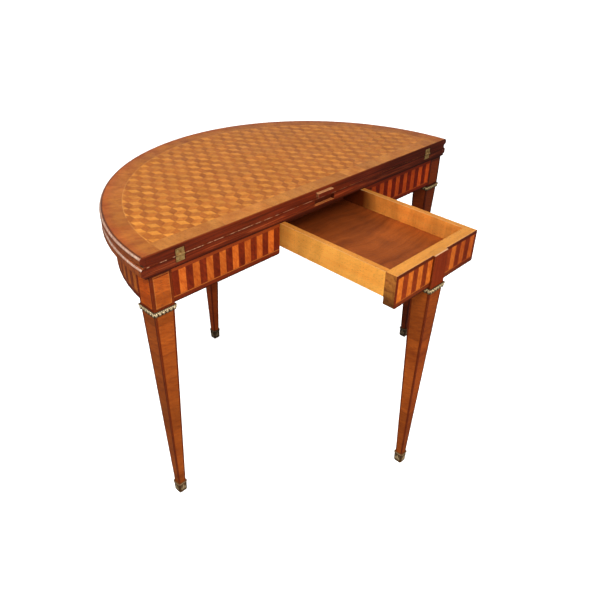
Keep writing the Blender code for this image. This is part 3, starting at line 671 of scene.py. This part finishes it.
def leg_finish(name, centre, seed, plain_post, upper_light, lower_light):
    """Cross-grained panels in brown corner bands, with a fine string round the post's panel."""
    bench = Bench(name)
    x, y, z = bench.axes
    way_x, way_y, way_z = bench.facing()
    middle_x, middle_y = centre
    off_x = abs(x - middle_x)
    off_y = abs(y - middle_y)
    half = off_x.most(off_y)
    across = off_x.least(off_y)
    from_arris = half - across
    on_post = z.past(collar_top - 0.002, 0.0004)
    on_side = abs(way_x).past(0.5, 0.1)
    band = bench.pick(on_post, post_band, z / collar_top * band_growth + foot_band)
    tall = bench.noise(x * 3.0, y * 3.0, z * 55.0 + seed, 3.0, 0.6)
    blocks = bench.noise(x * 1.0, y * 1.0, z * 13.0 + seed * 2.0, 1.0)
    lengths, joint = segment(bench, z + seed * 0.013, leg_length, seed)
    shade, fibres, pores = grain(bench, x + y, z, lengths * 3.0, seed, 0.009)
    slant = z + (x + y) * 0.35
    mottle = bench.noise((x + y) * 45.0, slant * 150.0, seed, 3.0, 0.6).stretched(2.6)
    mixed = shade * 0.3 + mottle * 0.3 + tall.stretched(2.4) * 0.2 + blocks.stretched(2.6) * 0.2
    panel = stained(bench, mixed, pores, (128, 46, 12), (220, 114, 40))
    panel = bench.scaled(panel, ((lengths - 0.5) * 0.30 + 0.92) * bench.pick(on_post, 1.22, 1.0))
    band_shade, _, band_pores = grain(bench, z, x, y, seed + 4.0, 0.004)
    dark = stained(bench, band_shade, band_pores, (92, 29, 8), (142, 56, 16))
    if plain_post:
        upright = stained(bench, band_shade, band_pores, (112, 32, 9), (174, 70, 22))
        # Painted shade: the plain post's side faces darker than its front
        upright = bench.mix(on_side, upright, bench.scaled(upright, 0.42))
        dark = bench.mix(on_post, dark, upright)
        panel = bench.mix(on_post, panel, upright)
    out_of_panel = on_post * z.under(panel_low).most(z.past(panel_high))
    banded = from_arris.under(band, 0.0006).most(out_of_panel)
    colour = bench.mix(banded, panel, dark)
    inside = from_arris.past(band - 0.0006) * (1 - on_post)
    if plain_post:
        top_wood = stained(bench, shade, pores, (200, 122, 44), (240, 168, 74))
        front_strip = (y - middle_y).under(top_strip - post_half, 0.0014)
        top_wood = bench.mix(front_strip * 0.8, top_wood, (240, 194, 156))
        colour = bench.mix(way_z.past(0.5, 0.1) * on_post, colour, top_wood)
    else:
        inset = from_arris.past(band)
        level = z.line(panel_low, leg_string).most(z.line(panel_high, leg_string))
        upright = from_arris.line(band + 0.0005, leg_string, 0.0004) * (1 - out_of_panel)
        string = (level * inset).most(upright) * on_post
        brown = z.line(brown_line, brown_width, 0.0004) * inset * on_post
        colour = bench.mix(brown, colour, dark)
        colour = bench.mix(string * (mottle * 0.6 + 0.4) * 0.7, colour, (222, 148, 74))
        # Painted light: the side faces of the post's panel tinted redder than its front
        colour = bench.toned(on_side * on_post, colour, 1.24, 0.94, 0.5)
        # Painted shadow of the leaf: the post's panel darker near its top
        leaf_shadow = z.past(apron_high - 0.004, 0.009) * 0.55
        colour = bench.scaled(colour, 1 - leaf_shadow)
    worn = from_arris.under(worn_arris, 0.0012) * tall.stretched(3.0)
    colour = bench.mix(worn * 0.3, colour, (176, 104, 48))
    # Painted shade: each leg's own brightness above and below 0.30 m, low for the right and rear
    # legs, and redder where it is lowest
    colour = bench.scaled(colour, bench.pick(z.past(0.30, 0.4), upper_light, lower_light))
    if upper_light < 0.6:
        colour = bench.tinted(colour, 1.1, 0.78, 0.64)
    if plain_post:
        # Painted shade: the plain post's front faces tinted darker
        colour = bench.toned(way_y.under(-0.5, 0.1), colour, 0.88, 0.77, 0.62)
    height = fibres - pores * 0.8 - joint * 0.4 * inside
    # Painted shade: faces that look towards +x tinted darker
    colour = bench.toned(way_x.past(0.5, 0.1), colour, 0.85, 0.74, 0.64)
    return bench.finish(colour, polish(bench, seed, 0.28, 0.25), height, 0.00014, 0.2)


# Drawer woods and carcass


def drawer_side_marks(bench, colour):
    """What a drawer side shows besides its wood: painted shade inside, painted light outside, brown
    in front.
    """
    x, y, z = bench.axes
    way_x, _, way_z = bench.facing()
    leftward = way_x.under(-0.5, 0.1)
    stain = bench.noise(y * 30.0, z * 7.0, 4.0, 3.0, 0.6).past(0.54, 0.2)
    # Painted shade on the right side's inner face: tinted darker, with stain patches, and almost
    # black towards the table where the top shades it
    shaded_inside = bench.scaled(bench.tinted(colour, 0.90, 0.74, 0.66), 1 - stain * 0.25)
    shaded_inside = bench.toned(y.past(-0.130, 0.05) * 0.97, shaded_inside, 0.12, 0.035, 0.01)
    colour = bench.mix(leftward * x.past(0.0), colour, shaded_inside)
    bands = bench.noise(y * 26.0 + z * 9.0, 3.0, 0.0, 2.0).stretched(2.4)
    # Painted light on the left side's outer face: brighter, less so towards the table, with figure
    # bands
    painted_light_level = (1.22 - bands * 0.26) * (1 - y.past(-0.125, 0.05) * 0.24)
    lit_outside = bench.tinted(bench.scaled(colour, painted_light_level), 1.0, 0.98, 0.9)
    colour = bench.mix(leftward * x.under(0.0), colour, lit_outside)
    on_top = way_z.past(0.5, 0.1)
    # Painted shade: the sides' top edges darker than their faces
    colour = bench.toned(on_top, colour, 0.84, 0.76, 0.66)
    arris = z.past(drawer_top - 0.0012, 0.001) * (1 - on_top)
    colour = bench.mix(arris * 0.5, colour, (250, 206, 140))
    in_front = y.under(drawer_back + 0.0006, 0.001)
    return bench.mix(in_front * 0.9, colour, brown_ends(bench))


def board_finish(name, along, seed, dark, light, least_rough, ring=0.014, ripple=0.0, shade_under_top=0.0,
                 marks=None):
    """Solid wood with its grain along x or y."""
    bench = Bench(name)
    x, y, z = bench.axes
    way, across = (x, y) if along == "x" else (y, x)
    if ripple:
        wave = bench.noise(way * 7.0 + seed, across * 5.0, z * 5.0, 2.0) - 0.5
        across = across + wave * ripple
    shade, fibres, pores = grain(bench, way, across, z, seed, ring)
    knots = bench.noise(way * 8.0, across * 8.0 + seed, z * 8.0, 2.0).past(0.66, 0.14)
    figure = bench.noise(way * 17.0 + seed * 3.0, 0.0, 0.0, 1.0).stretched(2.6)
    colour = bench.scaled(stained(bench, shade, pores, dark, light),
                          (1 - knots * 0.22) * (figure * 0.16 + 0.92))
    dust = bench.cloud(26.0, 4.0, 0.65, seed)
    colour = bench.scaled(colour, 1.06 - dust.stretched(2.0) * 0.12)
    if shade_under_top:
        # Painted shade: darker towards the back, under the table top
        colour = bench.toned(y.past(-0.16, 0.17) * shade_under_top, colour, 0.16, 0.05, 0.02)
    if marks:
        colour = marks(bench, colour)
    rough = polish(bench, seed, least_rough, 0.2)
    return bench.finish(colour, rough, fibres - pores, 0.00014, 0.15)


def tongue_finish():
    """The tongue: painted pale as lit on top and partly on its left end, stained like the straight
    edge in front.
    """
    bench = Bench("tongue_wood")
    way_x, _, way_z = bench.facing()
    shade, fibres, pores = grain(bench, bench.y, bench.x, bench.z, 8.0, 0.006)
    painted_lit = stained(bench, shade, pores, (176, 112, 68), (222, 164, 112))
    dark = stained(bench, shade, pores, (72, 20, 9), (122, 42, 20))
    # Painted light: the top pale as lit, and the left end a quarter of the way to pale
    colour = bench.mix(way_z.past(0.4, 0.3).most(way_x.under(-0.5, 0.2) * 0.25), dark, painted_lit)
    return bench.finish(colour, polish(bench, 8.0, 0.36, 0.2), fibres - pores, 0.00014, 0.15)


# Metals

vein_pitch = 0.0026
vein_width = 0.0009


def metal_finish(name, bright, tarnished, seed, least_rough, spread, pitting, right_shade=0.0):
    """Old cast or rolled metal: bright where it is rubbed, brown where it isn't."""
    bench = Bench(name)
    patches = bench.cloud(120.0, 4.0, 0.65, seed)
    fine = bench.noise(bench.x * 900.0, bench.y * 900.0 + seed, bench.z * 900.0, 2.0)
    tarnish = (patches * 0.75 + fine * 0.25).stretched(3.0)
    colour = bench.mix(tarnish, bright, tarnished)
    if right_shade:
        # Painted shade: darker towards the right
        colour = bench.scaled(colour, 1 - bench.x.past(0.3, 0.1) * right_shade)
    rough = tarnish * spread + least_rough
    return bench.finish(colour, rough, patches * 0.6 + fine * 0.4, pitting, 0.5, metal=0.55)


def bronze_finish(name, centre, wall, slope, rise, bright, dark, lit_low=0.0, lit_high=1.0):
    """Cast ornament on a square mount: bright where it stands out, dark brown in the hollows."""
    bench = Bench(name)
    x, y, z = bench.axes
    off_x = abs(x - centre[0])
    off_y = abs(y - centre[1])
    half = off_x.most(off_y)
    across = off_x.least(off_y)
    relief = ((half - z * slope - wall) / rise).most(0.0).least(1.0)
    patches = bench.cloud(260.0, 3.0, 0.65)
    fine = bench.cloud(1300.0)
    vein = ((across * 0.8 + z) % vein_pitch).line(vein_pitch / 2, vein_width, 0.0006)
    # Painted light: the ornament brighter in a band of heights from lit_low to lit_high, darker
    # above and below as painted shade
    lit = z.past(lit_low, 0.003) * z.under(lit_high, 0.0008) * 0.7 + 0.3
    rubbed_and_highlit = relief * 1.25 - patches.stretched(2.4) * 0.45 - vein * 0.30
    rubbed_and_highlit = rubbed_and_highlit.most(0.0).least(1.0) * lit
    colour = bench.mix(rubbed_and_highlit, dark, bright)
    rough = 0.62 - rubbed_and_highlit * 0.34
    return bench.finish(colour, rough, patches * 0.4 + fine * 0.3 - vein * 0.5, 0.0005, 0.5,
                        metal=0.5)


dress(leaf_finish("cube_parquetry", True), "folding_leaf")
dress(leaf_finish("fixed_leaf_veneer", False), "fixed_leaf")
dress(moulding_finish("upper_moulding_veneer", 1.0, leaf_top - bead_low_drop,
                      leaf_top - upper_bead_drop), "folding_leaf_moulding")
dress(moulding_finish("lower_moulding_veneer", 2.0, interface - bead_low_drop,
                      interface - lower_bead_drop), "fixed_leaf_moulding")
dress(straight_apron_finish(), "left_apron", "right_apron")
dress(curved_apron_finish(), "curved_apron_left", "curved_apron_right")
dress(drawer_front_finish(), "drawer_front")
# Each leg's side, seed, and painted brightness above and below 0.30 m: the right and rear legs are
# painted darker as shade
leg_shades = (("left", 1.0, 0.86, 0.84), ("right", 2.0, 0.27, 0.24), ("rear", 3.0, 0.55, 0.55),
              ("drawer", 4.0, 0.86, 0.84))
for side, seed, upper_light, lower_light in leg_shades:
    dress(leg_finish("leg_veneer_" + side, leg_centre(side), seed, side == "drawer", upper_light,
                     lower_light), "leg_" + side)
dress(board_finish("drawer_wood", "y", 2.0, (228, 138, 52), (255, 190, 92), 0.34, 0.018,
                   shade_under_top=0.45, marks=drawer_side_marks), "drawer_side_left", "drawer_side_right")
# The drawer's back board painted very dark, as painted shade under the top
dress(board_finish("drawer_back_shaded_wood", "x", 3.0, (74, 26, 10), (104, 40, 18), 0.5),
      "drawer_back")
dress(board_finish("drawer_floor_wood", "x", 5.0, (120, 54, 18), (194, 100, 38), 0.42,
                   0.012, 0.09, shade_under_top=0.70), "drawer_bottom")
carcass_tones = ((140, 90, 46), (190, 134, 78))
dress(board_finish("carcass_wood_x", "x", 6.0, *carcass_tones, 0.5),
      "back_rail", "drawer_stop", "glue_block_left", "glue_block_right")
dress(board_finish("carcass_wood_y", "y", 7.0, *carcass_tones, 0.5),
      "guide_left", "guide_right", "runner_left", "runner_right",
      "glue_block_left_1", "glue_block_left_2", "glue_block_right_1", "glue_block_right_2")
dress(tongue_finish(), "leaf_tongue")
dress(metal_finish("hinge_brass", (212, 172, 108), (116, 78, 36), 1.0, 0.30, 0.25,
                   0.00025, 0.12), "hinge_fixed_left", "hinge_fixed_right", "hinge_moving_left",
      "hinge_moving_right")
dress(metal_finish("pin_steel", (168, 166, 160), (110, 100, 90), 2.0, 0.28, 0.2, 0.0001),
      "hinge_pin_left", "hinge_pin_right", "stop_screw")

# Shaping of the pieces that only the picture has


def select_only(piece):
    bpy.ops.object.select_all(action="DESELECT")
    piece.select_set(True)
    bpy.context.view_layer.objects.active = piece


def settle(piece):
    """Leaves the piece at the origin, unturned, with its place in its mesh."""
    select_only(piece)
    bpy.ops.object.transform_apply(location=True, rotation=True, scale=True)


def begin(add, **settings):
    """A primitive to be shaped."""
    bpy.ops.object.select_all(action="DESELECT")
    add(**settings)
    piece = bpy.context.object
    settle(piece)
    return piece


def pull(piece, chosen, scale):
    """Scales, from the origin, those points of a piece that are chosen by their place."""
    select_only(piece)
    bpy.ops.object.mode_set(mode="EDIT")
    bpy.ops.mesh.select_all(action="DESELECT")
    bpy.ops.object.mode_set(mode="OBJECT")
    for point in piece.data.vertices:
        point.select = chosen(point.co)
    bpy.ops.object.mode_set(mode="EDIT")
    bpy.ops.transform.resize(value=scale, center_override=(0, 0, 0))
    bpy.ops.object.mode_set(mode="OBJECT")


def copied(piece, place, turn=0.0, axis="Z"):
    """Another of the same shape, with a mesh of its own."""
    other = piece.copy()
    other.data = piece.data.copy()
    bpy.context.scene.collection.objects.link(other)
    other.matrix_world = Matrix.Translation(place) @ Matrix.Rotation(turn, 4, axis)
    settle(other)
    return other


def joined(name, parts):
    bpy.ops.object.select_all(action="DESELECT")
    for part in parts:
        part.select_set(True)
    bpy.context.view_layer.objects.active = parts[0]
    bpy.ops.object.join()
    piece = bpy.context.object
    piece.name = name
    return piece


def discard(piece):
    bpy.data.objects.remove(piece)


def softened(piece, width):
    """Rounds a piece's sharp edges."""
    select_only(piece)
    soften = piece.modifiers.new("soft_edge", "BEVEL")
    soften.width = width
    soften.segments = 2
    soften.limit_method = "ANGLE"
    bpy.ops.object.modifier_apply(modifier=soften.name)


def mounted(piece, name, material, body, replaced=None):
    """Names a piece, gives it its finish, hangs it on its body and hides the part that it replaces.
    """
    piece.name = name
    piece.data.materials.clear()
    piece.data.materials.append(material)
    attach(piece, body)
    if replaced:
        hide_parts(replaced)
    return piece


def lobe(half_width, half_depth, half_height, tip_width, tip_up, sides=8):
    """A leaf in relief: a flattened bulb that narrows to its tip."""
    bulb = begin(bpy.ops.mesh.primitive_uv_sphere_add, segments=sides, ring_count=6, radius=1)
    pull(bulb, lambda point: True, (half_width, half_depth, half_height))
    sign = 1 if tip_up else -1
    limit = half_height * 0.3
    pull(bulb, lambda point: point.z * sign > limit, (tip_width, 1, 1))
    bpy.ops.object.shade_smooth()
    return bulb


def square_ring(profile, softness=0.0003, round_share=0.0):
    """A square ring: its profile's half widths and heights, round to the start.

    Its corners are mitred, or rounded by this share of the half width.
    """
    half, height = profile[0]
    ring = begin(bpy.ops.mesh.primitive_circle_add, vertices=4, radius=half * math.sqrt(2),
                 location=(0, 0, height), rotation=(0, 0, math.pi / 4))
    bpy.ops.object.mode_set(mode="EDIT")
    bpy.ops.mesh.select_all(action="SELECT")
    if round_share:
        bpy.ops.mesh.bevel(offset=half * round_share, segments=4, affect="VERTICES")
    for next_half, next_height in profile[1:] + profile[:1]:
        share = next_half / half
        bpy.ops.mesh.extrude_region_move(
            TRANSFORM_OT_translate={"value": (0, 0, next_height - height)})
        bpy.ops.transform.resize(value=(share, share, 1), center_override=(0, 0, next_height))
        half, height = next_half, next_height
    bpy.ops.mesh.select_all(action="SELECT")
    bpy.ops.mesh.remove_doubles(threshold=0.00001)
    bpy.ops.mesh.normals_make_consistent(inside=False)
    bpy.ops.object.mode_set(mode="OBJECT")
    if softness:
        softened(ring, softness)
    return ring


def row(count, off, start):
    """Places spread evenly along one side of a square, measured from its middle."""
    return [off * 2 / count * (number + start) - off for number in range(count)]


def on_sides(shape, shifts, off, height, first_turn=0.0):
    """Copies of a shape at these places on the four sides of a square, instead of the shape."""
    made = []
    for side in range(4):
        turn = side * math.pi / 2 + first_turn
        for shift in shifts:
            place = Matrix.Rotation(turn, 3, "Z") @ Vector((shift, -off, height))
            made.append(copied(shape, place, turn))
    discard(shape)
    return made


# Collars: a row of beads over a row of leaves, under a plain rim

collar_low, collar_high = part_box("collar_left")
collar_half = (collar_high.x - collar_low.x) / 2
collar_bottom = collar_low.z
bead_radius = 0.0023
bead_off = collar_half - bead_radius
bead_height = collar_top - 0.0015 - bead_radius
leaf_half_width = 0.0044
leaf_half_depth = 0.0016
leaf_half_height = 0.0046
leaf_off = collar_half - leaf_half_depth - 0.0002
collar_inner = post_half + 0.0003
collar_wall = collar_half - 0.0026
collar_foot = collar_wall - 0.0003
collar_hollow = collar_wall - 0.0006
collar_rim = collar_half - 0.0008
rim_low = collar_top - 0.0018
rim_edge = collar_top - 0.0013


def collar_ornament():
    """One dressed collar round the origin's upright, at its own height."""
    ring = square_ring([(collar_inner, collar_bottom), (collar_foot, collar_bottom),
                        (collar_wall, bead_height - bead_radius), (collar_hollow, bead_height),
                        (collar_wall, rim_low), (collar_rim, rim_edge),
                        (collar_rim, collar_top), (collar_inner, collar_top)])
    bead = begin(bpy.ops.mesh.primitive_uv_sphere_add, segments=8, ring_count=6,
                 radius=bead_radius)
    bpy.ops.object.shade_smooth()
    beads = on_sides(bead, row(12, bead_off, 0.0), bead_off, bead_height)
    leaf = lobe(leaf_half_width, leaf_half_depth, leaf_half_height, 0.55, False)
    leaves = on_sides(leaf, row(6, leaf_off, 0.5), leaf_off, collar_bottom + leaf_half_height)
    return joined("collar_ornament", [ring, *beads, *leaves])


leg_bodies = {"left": "table_frame", "right": "table_frame", "rear": "table_frame",
              "drawer": "drawer_body"}
# The collars' bright and dark tones, leg by leg: the right collar, and the rear and drawer ones a
# little, painted darker as shade
collar_tones = {"left": ((250, 228, 184), (70, 44, 18)),
                "right": ((190, 164, 116), (60, 40, 18)),
                "rear": ((226, 200, 150), (66, 42, 18)),
                "drawer": ((226, 204, 156), (62, 42, 18))}
model_collar = collar_ornament()
for side, body in leg_bodies.items():
    middle = leg_centre(side)
    bronze = bronze_finish("collar_bronze_" + side, middle, collar_wall - 0.0002, 0.0, 0.0022,
                           *collar_tones[side], collar_bottom + 0.0062, collar_top - 0.0014)
    mounted(copied(model_collar, (*middle, 0)), "beaded_collar_" + side, bronze, body,
            "collar_" + side)
discard(model_collar)

# Sabots: a cup with rounded corners, and leaves on its sides and corners

sabot_low, sabot_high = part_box("sabot_left")
sabot_fullness = 0.0012
sabot_half = (sabot_high.x - sabot_low.x) / 2 + sabot_fullness
sabot_slope = 0.0279
sabot_bead = 0.0012
sabot_floor = 0.0080
sabot_toe = 0.0060
toe_inset = 0.0030
sabot_wall = sabot_half - sabot_bead - sabot_high.z * sabot_slope
sabot_round = 0.0052
sabot_plate = sabot_fullness + 0.0014
sabot_core = 0.0010
leaf_relief = 0.0012
corner_leaf_height = 0.0195

# The mouth's bead: how far it stands out, as a share, and how far it lies under the rim

mouth_bead = ((0.0, 0.0), (0.8, 0.0009), (1.0, 0.0021), (0.7, 0.0034), (0.0, 0.0042))

# The leaves on each side: height, half width, half height and places along the side

side_leaves = ((0.0200, 0.0036, 0.0108, (0.0,)), (0.0158, 0.0020, 0.0066, (-0.0056, 0.0056)))


def sabot_cup():
    """The cup round the origin's upright."""
    mouth = sabot_half - sabot_bead
    toe = sabot_wall + sabot_toe * sabot_slope
    profile = [(mouth + sabot_bead * share, sabot_high.z - drop) for share, drop in mouth_bead]
    for step in range(5):
        turn = step * math.pi / 8
        profile.append((toe - toe_inset * (1 - math.cos(turn)), sabot_toe * (1 - math.sin(turn))))
    profile += [(sabot_core, 0.0), (sabot_core, sabot_floor),
                (sabot_wall - sabot_plate, sabot_floor), (mouth - sabot_plate, sabot_high.z)]
    cup = square_ring(profile, 0.0, sabot_round / sabot_half)
    select_only(cup)
    bpy.ops.object.shade_smooth_by_angle(angle=math.radians(50))
    return cup


def sabot_ornament():
    """The cup with its leaves, round the origin's upright."""
    parts = [sabot_cup()]
    corner_leaf = lobe(0.0024, leaf_relief, 0.0100, 0.6, True, 10)
    corner_off = sabot_wall * math.sqrt(2) - sabot_round * 0.50
    parts += on_sides(corner_leaf, (0.0,), corner_off, corner_leaf_height, math.pi / 4)
    for height, half_width, half_height, shifts in side_leaves:
        leaf = lobe(half_width, leaf_relief, half_height, 0.55, True, 10)
        parts += on_sides(leaf, shifts, sabot_wall + height * sabot_slope, height)
    return joined("sabot_ornament", parts)


model_sabot = sabot_ornament()
for side, body in leg_bodies.items():
    middle = leg_centre(side)
    # Painted shade: the right and rear sabots darker
    share = 0.6 if side in ("right", "rear") else 1.0
    bronze = bronze_finish("sabot_bronze_" + side, middle, sabot_wall - 0.0003, sabot_slope, 0.0012,
                           (236 * share, 206 * share, 158 * share),
                           (104 * share, 70 * share, 34 * share), 0.0, sabot_high.z - 0.0045)
    mounted(copied(model_sabot, (*middle, 0)), "leafy_sabot_" + side, bronze, body,
            "sabot_" + side)
discard(model_sabot)

# Hinge screws: slotted heads, two in each plate

screw_radius = 0.0023
screw_face = -0.09757
screw_depth = 0.0008
screw_arris = 0.0002
screw_inset = 0.0060
screw_shift = 0.0062
slot_depth = 0.0003
slot_width = 0.0007


def screw_head():
    """A slotted head in the origin, looking along -y."""
    head = begin(bpy.ops.mesh.primitive_cylinder_add, vertices=20, radius=screw_radius,
                 depth=screw_depth, rotation=(math.pi / 2, 0, 0))
    softened(head, screw_arris)
    blade = begin(bpy.ops.mesh.primitive_cube_add, size=1, location=(0, -screw_depth / 2, 0),
                  scale=(screw_radius * 3, slot_depth * 2, slot_width))
    slot = head.modifiers.new("slot", "BOOLEAN")
    slot.object = blade
    slot.solver = "EXACT"
    select_only(head)
    bpy.ops.object.modifier_apply(modifier=slot.name)
    discard(blade)
    return head


model_screw = screw_head()
screw_brass = metal_finish("screw_brass", (214, 194, 130), (120, 92, 50), 5.0, 0.32, 0.25,
                           0.0002)
turns = {"left": (0.5, -0.2), "right": (1.1, 0.1)}
for side, (outer_turn, inner_turn) in turns.items():
    for kind, body in (("fixed", "table_frame"), ("moving", "folding_leaf_body")):
        low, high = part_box("hinge_" + kind + "_" + side)
        middle = (low.x + high.x) / 2
        level = low.z + screw_inset if kind == "fixed" else high.z - screw_inset
        for place, shift, turn in (("outer", -screw_shift, outer_turn),
                                   ("inner", screw_shift, inner_turn)):
            spot = (middle + shift, screw_face + screw_depth / 2, level)
            mounted(copied(model_screw, spot, turn, "Y"), f"hinge_screw_{kind}_{side}_{place}",
                    screw_brass, body)
discard(model_screw)

# Baize sheets, laid in the leaves' meeting faces

baize_radius = leaf_radius - 0.0423
baize_chord = 0.0303
baize_arris = 0.0004
baize_green = baize_finish()


def baize_sheet(low, high):
    """A half disc of cloth with soft edges."""
    sheet = begin(bpy.ops.mesh.primitive_circle_add, vertices=128, radius=baize_radius,
                  fill_type="NGON", location=(0, edge_y, low))
    bpy.ops.object.mode_set(mode="EDIT")
    bpy.ops.mesh.select_all(action="SELECT")
    bpy.ops.mesh.bisect(plane_co=(0, edge_y + baize_chord, low), plane_no=(0, 1, 0), use_fill=False,
                        clear_inner=True)
    bpy.ops.mesh.select_all(action="SELECT")
    bpy.ops.mesh.extrude_region_move(TRANSFORM_OT_translate={"value": (0, 0, high - low)})
    bpy.ops.mesh.select_all(action="SELECT")
    bpy.ops.mesh.normals_make_consistent(inside=False)
    bpy.ops.object.mode_set(mode="OBJECT")
    softened(sheet, baize_arris)
    return sheet


for leaf, body in (("fixed", "table_frame"), ("folding", "folding_leaf_body")):
    low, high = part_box(leaf + "_baize")
    cloth = mounted(baize_sheet(low.z, high.z), "baize_" + leaf, baize_green, body,
                    leaf + "_baize")

# Floor, light and camera


def floor():
    """A plain pale floor, seen by the camera and lit, and left out of what the table reflects."""
    bench = Bench("pale_floor")
    drift = bench.noise(bench.x * 0.8, bench.y * 0.8, 0.0, 2.0)
    colour = bench.mix(drift, (244, 244, 243), (248, 248, 248))
    bpy.ops.object.select_all(action="DESELECT")
    bpy.ops.mesh.primitive_plane_add(size=120, location=(0, 0, 0))
    ground = bpy.context.object
    ground.name = "floor"
    ground.data.materials.append(bench.finish(colour, 0.9))
    ground.visible_diffuse = False
    ground.visible_glossy = False
    return ground


def lamp(name, kind, place, aim, colour, **settings):
    light = bpy.data.lights.new(name, kind)
    light.color = tone(*colour)[:3]
    for setting, value in settings.items():
        setattr(light, setting, value)
    stand = bpy.data.objects.new(name, light)
    bpy.context.scene.collection.objects.link(stand)
    stand.location = place
    stand.rotation_euler = (Vector(aim) - Vector(place)).to_track_quat("-Z", "Y").to_euler()
    return stand


def floor_light(ground):
    """Light from straight above that falls on the floor alone, under the table as well."""
    wash = lamp("floor_light", "SUN", (0, 0, 4), (0, 0, 0), (255, 255, 255), energy=3.3,
                angle=1.0)
    only_floor = bpy.data.collections.new("lit_floor")
    only_floor.objects.link(ground)
    wash.light_linking.receiver_collection = only_floor
    wash.light_linking.blocker_collection = only_floor


def room_light(above, below):
    """White walls and ceiling over a darker floor."""
    bench = Bench("studio", "worlds", "BACKGROUND", "Generated")
    level = bench.z.past(0.0, 0.5) * (above - below) + below
    bench.feed(bench.shader.inputs["Color"], bench.mix(level, (0, 0, 0), (255, 255, 255)))
    bpy.context.scene.world = bench.material


def camera():
    aim = Vector((math.sin(camera_heading) * math.cos(camera_dip),
                  math.cos(camera_heading) * math.cos(camera_dip), -math.sin(camera_dip)))
    level = aim.cross(Vector((0, 0, 1))).normalized()
    above = level.cross(aim)
    right = level * math.cos(camera_roll) + above * math.sin(camera_roll)
    up = above * math.cos(camera_roll) - level * math.sin(camera_roll)
    lens = bpy.data.cameras.new("camera")
    lens.sensor_width = sensor
    lens.lens = camera_focal_pixels / picture_pixels * sensor
    lens.clip_start = 0.01
    eye = bpy.data.objects.new("camera", lens)
    bpy.context.scene.collection.objects.link(eye)
    stand = Matrix((right, up, -aim)).transposed().to_4x4()
    stand.translation = camera_place
    eye.matrix_world = stand
    bpy.context.scene.camera = eye


floor_light(floor())
room_light(0.46, 0.09)
for name, place, aim, colour, size, energy in (
        ("key_light", (-1.8, -1.5, 2.7), (0, 0, 0.7), (255, 250, 243), 1.6, 69),
        ("front_light", (-0.60, -2.0, 1.0), (-0.05, -0.3, 0.55), (255, 249, 240), 0.7, 19),
        ("back_light", (-2.0, 2.9, 2.0), (0, 0, 0.7), (255, 252, 247), 1.3, 38)):
    lamp(name, "AREA", place, aim, colour, shape="SQUARE", size=size, energy=energy)
camera()
bpy.context.scene.view_settings.view_transform = "Standard"
